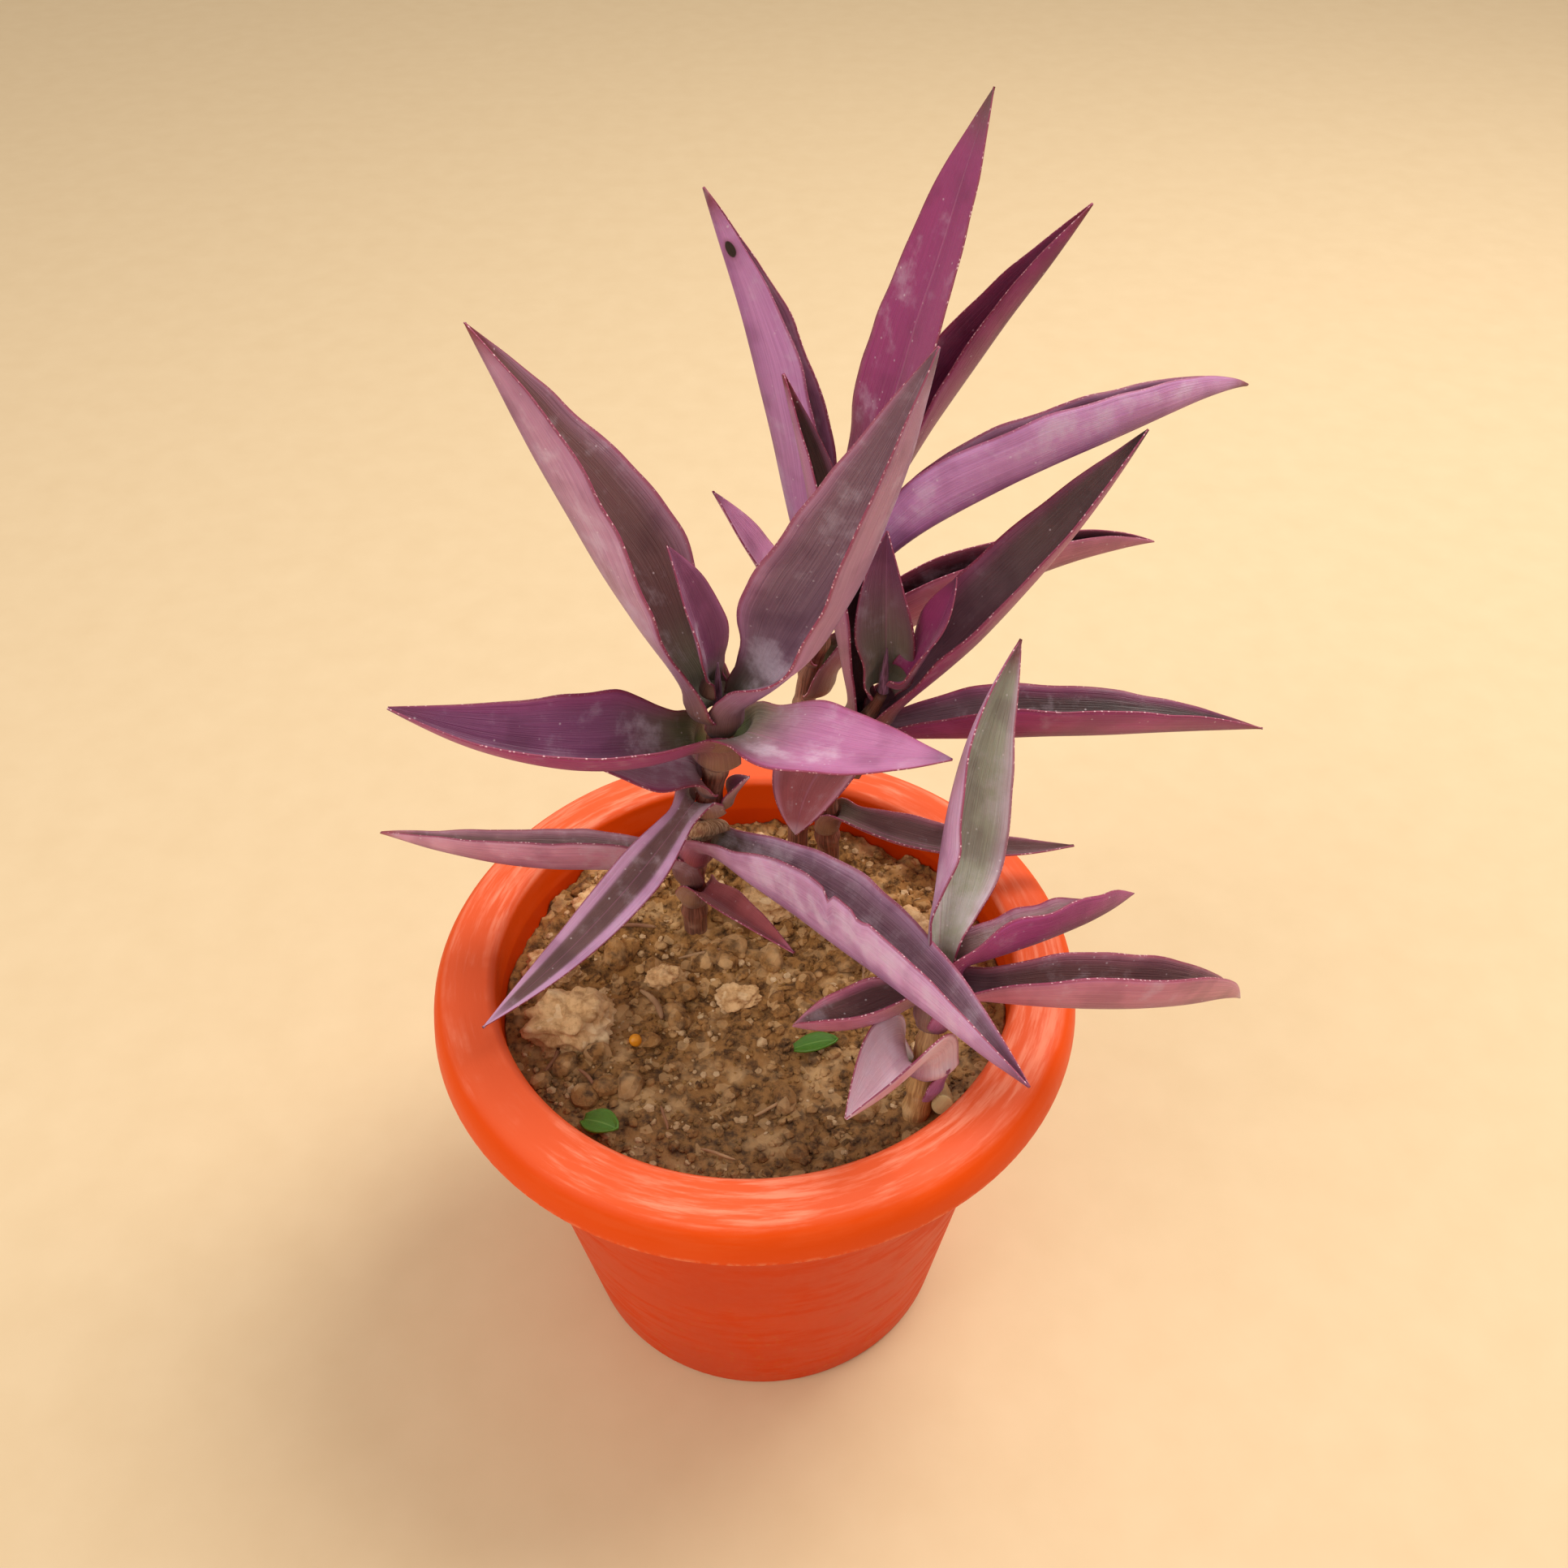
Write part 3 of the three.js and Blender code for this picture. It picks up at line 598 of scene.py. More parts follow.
class Path:
    """A smooth curve through a list of places."""

    def __init__(self, places):
        self.places = [Vector(place) for place in places]

    def at(self, share):
        last = len(self.places) - 1
        index = min(max(int(share * last), 0), last - 1)
        weight = share * last - index
        near = self.places[index:index + 2]
        before = self.places[index - 1] if index else 2 * near[0] - near[1]
        after = self.places[index + 2] if index + 2 <= last else 2 * near[1] - near[0]
        knots = [before, *near, after]
        gaps = [(b - a).length ** 0.5 for a, b in zip(knots, knots[1:])]
        slopes = []
        for i in (1, 2):
            left, right = gaps[i - 1], gaps[i]
            slope = ((knots[i] - knots[i - 1]) / left + (knots[i + 1] - knots[i]) / right
                     - (knots[i + 1] - knots[i - 1]) / (left + right))
            slopes.append(slope * gaps[1])
        start, finish = near
        bend = -3 * start + 3 * finish - 2 * slopes[0] - slopes[1]
        twist = 2 * start - 2 * finish + slopes[0] + slopes[1]
        return start + weight * (slopes[0] + weight * (bend + weight * twist))

    def along(self, share):
        return (self.at(share + 0.0001) - self.at(share - 0.0001)).normalized()

    def share_at(self, height):
        low, high = 0.0, 1.0
        for _ in range(30):
            middle = (low + high) / 2
            if self.at(middle).z < height:
                low = middle
            else:
                high = middle
        return low


def stem_skin(name, dark, middle, pale):
    """A stem's surface: long streaks, pale patches and small scars."""
    stem = Skin(name, Roughness=0.45, Subsurface_Weight=0.08)
    uv = stem.coords("UV")
    streak = stem.cloud(stem.stretch(uv, (6, 34, 1)), 1.0, 4.0, 0.6)
    patch = stem.cloud(stem.coords(), 130.0, 3.0)
    scar = stem.cells(stem.coords(), 480.0)
    colour = stem.blend(stem.step(streak, 0.38, 0.62), dark, middle)
    colour = stem.blend(stem.step(patch, 0.5, 0.68) * 0.7, colour, pale)
    colour = stem.blend((1 - stem.step(scar, 0.1, 0.22)) * 0.4, colour, dark)
    return stem.paint(Base_Color=colour, Roughness=0.38 + patch * 0.25,
                      Normal=stem.bump(streak, 0.5, 0.0006))


stem_materials = {
    "a": stem_skin("stem_brown", tone(96, 62, 52), tone(150, 100, 84), tone(190, 152, 130)),
    "s": stem_skin("stem_tan", tone(166, 122, 76), tone(208, 164, 108), tone(230, 196, 146)),
}
shoot_paths = {name: Path(places) for name, places in SHOOTS.items()}
for name, (foot, middle, top, joints) in SHOOT_SIZES.items():
    path = shoot_paths[name]
    end = path.share_at(top)

    def stem_radius(share, turn):
        place = path.at(share * end)
        swell = sum(math.exp(-((place.z - joint + JOINT_DROP) / JOINT_LENGTH) ** 2)
                    for joint in joints)
        closing = (middle - STEM_END_RADIUS) * ease((share - 0.85) / 0.15)
        slim = foot + (middle - foot) * share - closing
        around = Vector((math.cos(turn), math.sin(turn), 0))
        return slim + JOINT_SWELL * swell + 0.12 * noise.noise(place / 4 + around)

    bm = bmesh.new()
    round_rod(bm, lambda share: path.at(share * end), lambda share: path.along(share * end),
              stem_radius, 110, 20)
    skin = stem_materials.get(name, stem_materials["a"])
    slot = "stem_tan" if name == "s" else "stem_brown"
    finish_piece("shoot_" + name, bm, [skin], slot, "stem_" + name)

# ---- Leaves ----
# Each leaf is one pointed blade, folded along its middle into a channel, on a foot that
# clasps the stem. It is fleshy and thin: dusky above, vivid purple below, with a whitish
# bloom in patches, partly real and partly painted sheen, fine veins along it and a thin
# crimson margin.
LEAF_STEPS = 60
LEAF_STRIPS = 20
HALF_STRIPS = LEAF_STRIPS // 2
LEAF_THICK = 0.75
SHEATH_HEIGHT = 4
STEM_GIRTH = 3.0
BEND_LENGTH = 6
CLASP_TURN = 1.9
CLASP_LENGTH = 14
BASE_WIDTH_SHARE = 0.34
WIDEST_AT = 0.38
TAPER_POWER = 1.8
KEEL_SHARE = 0.16
RIPPLE_LENGTH = 9
BODY_WAVE = 0.3
BODY_WAVE_LENGTH = 16
TIP_FROM_ABOVE = 0.86
TIP_FROM_BELOW = 0.9
WELD_NEAR = 0.01
NO_MARK = (9, 9, 9)
# A whitish tone for the leaves' bloom, also used for painted sheen.
BLOOM_AND_SHEEN = tone(222, 206, 222)
CRIMSON = tone(140, 36, 64)


def leaf_skin(name, tones, veins, sheen, blotch, keel_shade, margin_glow):
    """One face of a leaf. Its main colour, its whitish bloom (partly painted sheen) and its
    dark mark come with the mesh.
    """
    leaf = Skin(name, Roughness=0.5, Subsurface_Weight=0.08, Subsurface_Scale=0.002,
                Sheen_Weight=sheen, Sheen_Roughness=0.45, Sheen_Tint=tone(226, 214, 240))
    base = leaf.node("ShaderNodeAttribute", {"attribute_name": tones}, output="Color")
    glow = leaf.node("ShaderNodeAttribute", {"attribute_name": "lower_tone"}, output="Color")
    bloom_and_sheen_amount = leaf.node("ShaderNodeAttribute", {"attribute_name": "bloom_and_sheen_amount"}, output="Fac")
    mark = leaf.node("ShaderNodeAttribute", {"attribute_name": "mark"}, output="Vector")
    uv = leaf.coords("UV")
    spot = leaf.coords()
    side = abs(leaf.part(uv, 1) * 2 - 1)
    fine = leaf.cloud(leaf.stretch(uv, (3.5, 62, 1)), 1.0, 3.0, 0.6)
    broad = leaf.cloud(leaf.stretch(uv, (2.5, 14, 1)), 1.0, 3.0, 0.55)
    cloudy = leaf.cloud(spot, 70.0, 3.0, 0.5)
    flecks = leaf.cloud(spot, 240.0, 5.0, 0.62)
    bloom_and_sheen_part = leaf.cloud(spot, 1100.0, 3.0, 0.7)
    vein = leaf.step(fine, 0.32, 0.68)
    colour = leaf.blend(leaf.step(side + fine * 0.1, 0.7, 1.02) * margin_glow, base, glow)
    colour = leaf.blend((1 - vein) * veins, colour, tone(176, 132, 166), "MULTIPLY")
    colour = leaf.blend(leaf.step(broad, 0.5, 0.75) * veins, colour,
                        tone(206, 160, 200), "SOFT_LIGHT")
    colour = leaf.blend((1 - leaf.step(cloudy, 0.36, 0.5)) * blotch, colour,
                        tone(150, 96, 132), "MULTIPLY")
    near_keel = 1 - leaf.step(side + broad * 0.2, 0.12, 0.62)
    colour = leaf.blend(near_keel * keel_shade, colour, tone(150, 104, 160), "MULTIPLY")
    # Whitish patches: the leaves' real bloom, and in places painted sheen.
    cover = cloudy * 0.45 + flecks * 0.55
    patch = leaf.step(cover, 0.56 - bloom_and_sheen_amount * 0.18, 0.72 - bloom_and_sheen_amount * 0.14)
    bloom_and_sheen = patch * (0.78 + leaf.step(bloom_and_sheen_part, 0.34, 0.64) * 0.22)
    colour = leaf.blend(bloom_and_sheen * (0.2 + bloom_and_sheen_amount * 0.3), colour, BLOOM_AND_SHEEN)
    point = leaf.cells(spot, 620.0)
    pick = leaf.part(leaf.cells(spot, 620.0, "Color"), 1)
    speck = (1 - leaf.step(point, 0.06, 0.2)) * leaf.step(pick, 0.84, 0.9)
    colour = leaf.blend(speck * 0.5, colour, tone(232, 218, 226))
    keel = 1 - leaf.step(side, 0.0, 0.05)
    colour = leaf.blend(keel * 0.25, colour, tone(196, 128, 160))
    edge = leaf.step(side + fine * 0.03, 0.955, 0.995)
    colour = leaf.blend(edge * 0.6, colour, CRIMSON)
    hairs = leaf.cells(spot, 1500.0)
    hair = (1 - leaf.step(hairs, 0.1, 0.3)) * leaf.step(side, 0.95, 0.99)
    colour = leaf.blend(hair * 0.4, colour, tone(236, 200, 206))
    reach = leaf.node("ShaderNodeVectorMath", {"operation": "LENGTH"}, {0: mark}, "Value")
    reach = reach + flecks * 0.5 - 0.25
    colour = leaf.blend((1 - leaf.step(reach, 0.9, 1.5)) * 0.4, colour, tone(120, 56, 70))
    colour = leaf.blend(1 - leaf.step(reach, 0.8, 1.0), colour, tone(34, 20, 16))
    return leaf.paint(
        Base_Color=colour,
        Roughness=0.38 + bloom_and_sheen * 0.3 + (1 - vein) * 0.08,
        Normal=leaf.bump(fine * 0.7 + broad * 0.5 + flecks * 0.4 + keel * -0.6, 0.5, 0.0005))


margin_skin = Skin("leaf_margin", Roughness=0.5)
bristle = margin_skin.cells(margin_skin.coords(), 1300.0)
margin_material = margin_skin.paint(Base_Color=margin_skin.blend(
    1 - margin_skin.step(bristle, 0.15, 0.4), tone(150, 62, 92), tone(230, 184, 194)))
leaf_materials = [
    leaf_skin("leaf_upper", "upper_tone", 0.26, 0.16, 0.35, 0.1, 0.45),
    leaf_skin("leaf_lower", "lower_tone", 0.34, 0.1, 0.3, 0.55, 0.0),
    margin_material,
]


def mix(share, first, second):
    return tuple(a + (b - a) * share for a, b in zip(first, second))


def midrib(start, stem_along, heading, rise, end, sweep, length, early):
    """The places, ways and sideways ways of the leaf's middle, from its foot to its tip."""
    free = SHEATH_HEIGHT / length
    bend = max(0.06, BEND_LENGTH / length)
    place = start.copy()
    found = []
    for i in range(LEAF_STEPS + 1):
        t = i / LEAF_STEPS
        share = min(max((t - free) / (1 - free), 0), 1)
        compass = math.radians(heading + sweep * ease(share))
        slope = math.radians(rise + (end - rise) * share ** early)
        out = Vector((math.cos(compass), math.sin(compass), 0))
        away = out * math.cos(slope) + Vector((0, 0, math.sin(slope)))
        along = stem_along.lerp(away, ease((t - free) / bend)).normalized()
        side = Vector((-out.y, out.x, 0))
        side = (side - side.project(along)).normalized()
        found.append((place.copy(), along, side))
        place += along * (length / LEAF_STEPS)
    return found


def half_width(t, width, length, sheath):
    """Half the blade's width at a share of its length, with its clasping foot."""
    growing = BASE_WIDTH_SHARE + (1 - BASE_WIDTH_SHARE) * ease(t / WIDEST_AT)
    tapering = 1 - max((t - WIDEST_AT) / (1 - WIDEST_AT), 0) ** TAPER_POWER
    blade = width / 2 * growing * tapering
    clasp = CLASP_TURN * sheath
    return blade + max(clasp - blade, 0) * (1 - ease(t * length / CLASP_LENGTH))


def leaf(name, shoot, height, sheath, heading, rise, end, sweep, length, width, fold, roll,
         look, ripple=0.35, nicks=(), clasp=1.0, node=None, slot="leaf_purple",
         materials=None, dust=(), band=None, mark=None, early=1.0, base=0.26):
    """One leaf on its shoot, at the height of its joint. Lengths are in millimetres and
    angles in degrees: heading is the compass of the blade, rise and end its slope at the
    foot and tip, sweep the turn of the heading, fold the slope of each half from flat and
    roll the twist about the middle. A nick is (share of length, side, depth, breadth),
    a dusting (share of length, share of width, its two reaches, amount), a band (tone,
    share of width where it starts) and a mark (share of length and width, two reaches).
    A dusting adds whitish bloom, which in places is painted sheen. With early under 1 the
    slope changes mostly near the foot. The tone of the foot fades out at base, a share of
    the length."""
    path = shoot_paths[shoot]
    joint = path.share_at(height)
    stem_along = path.along(joint)
    out = Vector((math.cos(math.radians(heading)), math.sin(math.radians(heading)), 0))
    out = (out - out.project(stem_along)).normalized()
    middle = midrib(path.at(joint) + out * sheath, stem_along, heading, rise, end, sweep,
                    length, early)
    seed = Vector((sum(map(ord, name)) * 0.37, height * 0.11, 0))
    upper, lower, foot_upper, foot_lower, tip, bloom_and_sheen_amount = look
    rows = {}

    def cross_section(i):
        """The width and lift of the channel's halves at one station."""
        t = i / LEAF_STEPS
        half = half_width(t, width, length, sheath * clasp)
        blade = ease((t - 0.03) / 0.15)
        wrap = half / sheath
        steep = math.radians(fold)
        across, lift, points = 0.0, 0.0, [(0.0, 0.0)]
        for k in range(HALF_STRIPS):
            s = (k + 0.5) / HALF_STRIPS
            slope = (1 - blade) * wrap * s + blade * steep * (0.8 + 0.4 * s)
            slope *= ease(s / KEEL_SHARE) * blade + 1 - blade
            across += half / HALF_STRIPS * math.cos(slope)
            lift += half / HALF_STRIPS * math.sin(slope)
            points.append((across, lift))
        return points

    def hug(spot, t):
        """Draws the foot of the leaf in to the stem that it clasps."""
        pull = 1 - ease(t * length / SHEATH_HEIGHT)
        if pull == 0:
            return spot
        axis = path.at(joint) + stem_along * (spot - path.at(joint)).dot(stem_along)
        spoke = spot - axis
        return axis + spoke * (1 - pull + pull * STEM_GIRTH / spoke.length)

    def leaf_place(t, s):
        i = round(t * LEAF_STEPS)
        if i not in rows:
            rows[i] = cross_section(i)
        place, along, side = middle[i]
        turn = math.radians(roll) * ease(t / 0.4)
        side_now = side * math.cos(turn) + along.cross(side) * math.sin(turn)
        up = along.cross(side_now)
        reach = abs(s)
        sign = 1 if s >= 0 else -1
        for where, edge, depth, breadth in nicks:
            if edge == sign and reach > 0.5:
                reach -= depth * max(1 - abs(t - where) / breadth, 0)
        index = min(int(reach * HALF_STRIPS), HALF_STRIPS - 1)
        part = reach * HALF_STRIPS - index
        (x0, y0), (x1, y1) = rows[i][index], rows[i][index + 1]
        wave = ripple * reach ** 2 * ease(t / 0.25) * (1 - t ** 4)
        wave *= noise.noise(Vector((t * length / RIPPLE_LENGTH, sign * 3.0, 0)) + seed) * 2
        body = BODY_WAVE * noise.noise(
            Vector((t * length / BODY_WAVE_LENGTH, s * 0.8, 5)) + seed)
        lift = y0 + (y1 - y0) * part + wave + body * ease(t / 0.2)
        return hug(place + side_now * sign * (x0 + (x1 - x0) * part) + up * lift, t)

    bm = bmesh.new()
    bmesh.ops.create_grid(bm, x_segments=LEAF_STEPS, y_segments=LEAF_STRIPS, size=1)
    uv_layer = bm.loops.layers.uv.new("UVMap")
    upper_layer = bm.verts.layers.float_color.new("upper_tone")
    lower_layer = bm.verts.layers.float_color.new("lower_tone")
    bloom_and_sheen_layer = bm.verts.layers.float.new("bloom_and_sheen_amount")
    mark_layer = bm.verts.layers.float_vector.new("mark")
    for face in bm.faces:
        for loop in face.loops:
            loop[uv_layer].uv = ((loop.vert.co.x + 1) / 2, (loop.vert.co.y + 1) / 2)
    thick = []
    for vert in bm.verts:
        t, s = (vert.co.x + 1) / 2, vert.co.y
        above = mix(ease(t / base), foot_upper, upper)
        if band:
            above = mix(ease((abs(s) - band[1]) / 0.2) * ease(t / 0.3), above, band[0])
        vert[upper_layer] = mix(ease((t - TIP_FROM_ABOVE) / (1 - TIP_FROM_ABOVE)), above, tip)
        below = mix(ease(t * length / 16 - 0.15), foot_lower, lower)
        vert[lower_layer] = mix(ease((t - TIP_FROM_BELOW) / (1 - TIP_FROM_BELOW)), below, tip)
        # The whitish amount: real bloom, with painted sheen in some of the dust patches.
        bloom_and_sheen_part = bloom_and_sheen_amount * (1.2 - 0.6 * ease((t - 0.1) / 0.7)) * ease(t * length / 10)
        for where, across, long, wide, amount in dust:
            away = math.hypot((t - where) / long, (s - across) / wide)
            bloom_and_sheen_part += amount * ease((1.6 - away) / 1.3)
        vert[bloom_and_sheen_layer] = bloom_and_sheen_part
        vert[mark_layer] = NO_MARK
        if mark:
            vert[mark_layer] = ((t - mark[0]) / mark[2], (s - mark[1]) / mark[3], 0)
        vert.co = leaf_place(t, s)
        thick.append((1 - 0.55 * abs(s) ** 3) * (1 - 0.5 * t))
    made = finish_piece(name, bm, materials or leaf_materials, slot,
                        node or name.replace("blade", "leaf"))
    group = made.vertex_groups.new(name="thickness")
    for index, weight in enumerate(thick):
        group.add([index], weight, "REPLACE")
    wall = made.modifiers.new("thickness", "SOLIDIFY")
    wall.thickness = LEAF_THICK * MM
    wall.offset = -1
    wall.vertex_group = "thickness"
    wall.thickness_vertex_group = 0.2
    wall.material_offset = 1
    wall.material_offset_rim = 2
    weld = made.modifiers.new("tip", "WELD")
    weld.merge_threshold = WELD_NEAR * MM


# The tones of the leaves' faces
DUSK = tone(140, 108, 124)
UMBER = tone(116, 80, 80)
INK = tone(62, 30, 34)
COCOA = tone(96, 66, 64)
PLUM = tone(138, 72, 108)
VIOLET = tone(140, 80, 122)
LILAC = tone(222, 172, 214)
MAUVE = tone(194, 126, 170)
ORCHID = tone(208, 146, 200)
MAGENTA = tone(170, 62, 126)
BERRY = tone(158, 52, 116)
ROSE = tone(204, 122, 152)
PINK = tone(222, 158, 184)
PALE_ROSE = tone(230, 194, 206)
FADED_ROSE = tone(190, 138, 172)
OLIVE = tone(98, 96, 60)
MOSS = tone(92, 108, 44)
GREEN_GREY = tone(134, 136, 114)
SAGE = tone(176, 176, 156)
STRAW = tone(176, 138, 106)
BARK = tone(138, 98, 84)
RUST = tone(172, 86, 90)
RED_TIP = tone(138, 46, 60)
BROWN_TIP = tone(112, 72, 66)

# A look is (upper face, lower face, foot above, foot below, tip, bloom and painted sheen)
# Front left shoot, from its lowest leaf up
leaf("blade_a7", "a", 112, 4.2, 296, 30, 14, 12, 52, 10, 42, 0,
     (RUST, RUST, RUST, STRAW, ROSE, 0.2))
leaf("blade_e", "a", 120, 4.4, 205, 22, -4, -50, 80, 21, 50, 30,
     (UMBER, PINK, OLIVE, BARK, RUST, 0.6))
leaf("blade_h", "a", 128.6, 4.4, 311, 3, 19, -10, 115, 31, 64, -26.5,
     (DUSK, LILAC, OLIVE, RUST, PLUM, 0.5),
     nicks=[(0.4667, -1, 0.16, 0.018), (0.55, -1, 0.08, 0.018), (0.5667, -1, 0.06, 0.018)],
     dust=[(0.2, 0.3, 0.12, 0.5, 0.5), (0.4, -0.6, 0.2, 0.3, 0.7),
           (0.7, -0.6, 0.2, 0.3, 0.5)])
leaf("blade_f", "a", 148, 4.78, 228.82, -28, -25.88, -18, 75.23, 11.25, 19.78, -27.24,
     (UMBER, LILAC, UMBER, STRAW, LILAC, 0.45), band=(LILAC, 0.45))
leaf("blade_a6", "a", 155.91, 4.27, 184.47, 18.97, 37.73, 16.84, 50.12, 26.98, 10.54, -5.74,
     (PLUM, MAGENTA, UMBER, BARK, PLUM, 0.3))
leaf("blade_a1", "a", 165.27, 5.85, 222, 14, 34, -45, 76.77, 30.55, 53, -8.19,
     (VIOLET, MAGENTA, MOSS, STRAW, PLUM, 0.15),
     dust=[(0.3, -0.4, 0.08, 0.3, 0.9), (0.55, 0, 0.2, 0.3, 0.2)], base=0.45)
# The first dust patch of this leaf, along its near side, is painted sheen.
leaf("blade_a2", "a", 171.22, 6.22, 319.51, 12, 10.69, 26, 55, 24.45, 16, 0,
     (MAUVE, MAGENTA, MOSS, STRAW, VIOLET, 0.2),
     dust=[(0.3, -0.45, 0.09, 0.3, 1.1), (0.5, -0.2, 0.12, 0.4, 0.6)], base=0.5)
leaf("blade_a5", "a", 175.18, 4.83, -23.32, 16.01, 79.81, -11, 106.05, 35.93, 57.34, 52.9,
     (DUSK, FADED_ROSE, GREEN_GREY, BARK, DUSK, 0.15),
     dust=[(0.17, 0.4, 0.08, 0.4, 1.0), (0.27, -0.2, 0.1, 0.35, 0.9),
           (0.72, 0.2, 0.2, 0.8, 0.4)],
     band=(FADED_ROSE, 0.8), early=0.3)
leaf("blade_a3", "a", 179, 6.58, 163.28, 39.41, 74, 40.52, 95.5, 37.75, 43.93, -5.54,
     (UMBER, FADED_ROSE, GREEN_GREY, BARK, RED_TIP, 0.15),
     dust=[(0.4, 0.5, 0.25, 0.35, 0.6), (0.75, 0.5, 0.15, 0.3, 0.4)], early=0.3)
leaf("blade_a4", "a", 189, 1.7, 160, 78, 74, 5, 35, 16, 24, 0,
     (PLUM, MAUVE, GREEN_GREY, BARK, PLUM, 0.2), dust=[(0.4, 0.2, 0.3, 0.2, 0.8)])

# Rear right shoot
leaf("blade_d", "b", 115, 3.9, 322, 2, -4, 52, 69, 13, 45, 6,
     (UMBER, ROSE, OLIVE, STRAW, BROWN_TIP, 0.2))
leaf("blade_b7", "b", 141, 4.4, 230, 10, -60, 20, 28, 22, 24, 0,
     (RUST, RUST, RUST, STRAW, PALE_ROSE, 0.3), band=(PINK, 0.75))
leaf("blade_b1", "b", 151, 4.8, 343, 18, -17, 34, 99, 25, 51, -16,
     (INK, MAGENTA, DUSK, BARK, RED_TIP, 0.2), base=0.5)
leaf("blade_b2", "b", 157, 5, 150, 79, 77, 4, 86, 19, 50, 0,
     (INK, MAUVE, INK, BARK, RED_TIP, 0.15))
leaf("blade_b5", "b", 161, 5, 0, 46, 61, 14, 89, 27, 41, -1,
     (COCOA, MAGENTA, DUSK, BARK, INK, 0.15), base=0.7)
leaf("blade_b3", "b", 171, 4.8, 112, 86, 82, -20, 38, 16, 40, -24,
     (PLUM, PLUM, GREEN_GREY, PLUM, PLUM, 0.2), base=0.95)
leaf("blade_b4", "b", 181, 3.4, 350, 66, 76, 40, 29, 14, 24, 0,
     (MAGENTA, MAGENTA, MAGENTA, PLUM, PLUM, 0.05))

# Rear middle shoot
leaf("blade_b6", "c", 155, 6, 2, 42, -10, 22, 92, 26, 80, 6,
     (INK, ROSE, OLIVE, BARK, ROSE, 0.35))
leaf("blade_c6", "c", 166, 4.8, 173, 64, 62, 0, 48, 17, 22, 0,
     (MAUVE, MAUVE, MAUVE, BARK, PLUM, 0.3))
leaf("blade_c3", "c", 180, 7, 143.8, 79, 75, 53, 96, 27, 82, -14,
     (DUSK, ORCHID, DUSK, MAUVE, RED_TIP, 0.4), mark=(0.87, 0.45, 0.02, 0.22))
leaf("blade_c4", "c", 183.7, 6, 335, 61, -18, 70, 117, 24, 80, -17,
     (UMBER, ORCHID, UMBER, MAUVE, RED_TIP, 0.3),
     dust=[(0.3, -0.6, 0.1, 0.3, 0.4), (0.6, -0.7, 0.15, 0.3, 0.6),
           (0.8, -0.7, 0.1, 0.3, 0.5)])
leaf("blade_c2", "c", 187.5, 4.21, 39.7, 50.2, 61.57, -58.4, 97, 22, 67.38, 20,
     (PLUM, BERRY, INK, MAUVE, RED_TIP, 0.15))
leaf("blade_c1", "c", 195, 2.5, 10, 76, 70, 22, 101, 26, 12, 0,
     (BERRY, BERRY, PLUM, MAUVE, BROWN_TIP, 0.1),
     dust=[(0.25, 0.6, 0.16, 0.4, 0.8), (0.3, -0.3, 0.1, 0.3, 0.4),
           (0.62, 0.7, 0.12, 0.3, 0.4)])

# The cutting at the front right
leaf("blade_s5", "s", 116.5, 6.62, 234.8, 10.58, 1.97, -14.5, 29.09, 24.21, 58.16, 10.28,
     (PALE_ROSE, PINK, SAGE, PALE_ROSE, PALE_ROSE, 1.0))
leaf("blade_s4", "s", 129, 4.17, 202.19, -21.62, -30.65, -60.15, 38, 19.25, 68, -5.75,
     (UMBER, ROSE, UMBER, STRAW, PINK, 0.5), band=(ROSE, 0.7))
leaf("blade_s3", "s", 129, 5.02, 350, 8, -46, 56.27, 90, 23, 70, -10,
     (UMBER, ROSE, DUSK, ROSE, PALE_ROSE, 0.35))
leaf("blade_s2", "s", 137, 4.6, 3, 22, -22, 46, 54, 19, 50, -43,
     (UMBER, MAGENTA, UMBER, MAGENTA, MAGENTA, 0.15), ripple=0.7)
leaf("blade_s1", "s", 140.5, 2.6, 87, 50, 48, -41, 73, 26, 56, 56,
     (SAGE, LILAC, SAGE, SAGE, RED_TIP, 0.6))

# The small side bud, at the lowest joint of the cutting
leaf("side_bud_blade", "s", 110, 4.3, 325, 60, 80, 0, 11, 6, 30, 0,
     (PLUM, MAUVE, SAGE, MAUVE, PLUM, 0.3), ripple=0.1, clasp=0.5, node="side_bud")

# ---- Dried leaf feet ----
# Two leaves of the front left shoot have dried up. The foot of one is still wrapped round
# the stem like thin brown paper, and the other has shrunk to a narrow folded scrap.
dried = Skin("dried_leaf", Roughness=0.7, Subsurface_Weight=0.1, Subsurface_Scale=0.002)
dried_uv = dried.coords("UV")
ribs = dried.cloud(dried.stretch(dried_uv, (3, 30, 1)), 1.0, 4.0, 0.65)
stain = dried.cloud(dried.coords(), 190.0, 4.0)
colour = dried.blend(dried.step(ribs, 0.36, 0.64), tone(150, 108, 78), tone(222, 188, 152))
colour = dried.blend(dried.step(stain, 0.52, 0.68) * 0.5, colour, tone(176, 118, 108))
dried_material = dried.paint(Base_Color=colour, Roughness=0.6 + ribs * 0.3,
                             Normal=dried.bump(ribs, 0.7, 0.0006))
NO_LOOK = (UMBER,) * 5 + (0.0,)
leaf("dried_wrap", "a", 140, 4, 262, 64, 70, 0, 9, 11, 24, 0, NO_LOOK, ripple=0.7,
     node="dried_sheath", slot="dried_leaf", materials=[dried_material] * 3)
leaf("dried_scrap", "a", 149, 5.2, 345, 60, 60, 0, 14, 8, 50, 0,
     (PLUM, PINK, UMBER, STRAW, PALE_ROSE, 0.5), ripple=0.9, clasp=0.3,
     node="dried_bract", slot="dried_leaf")

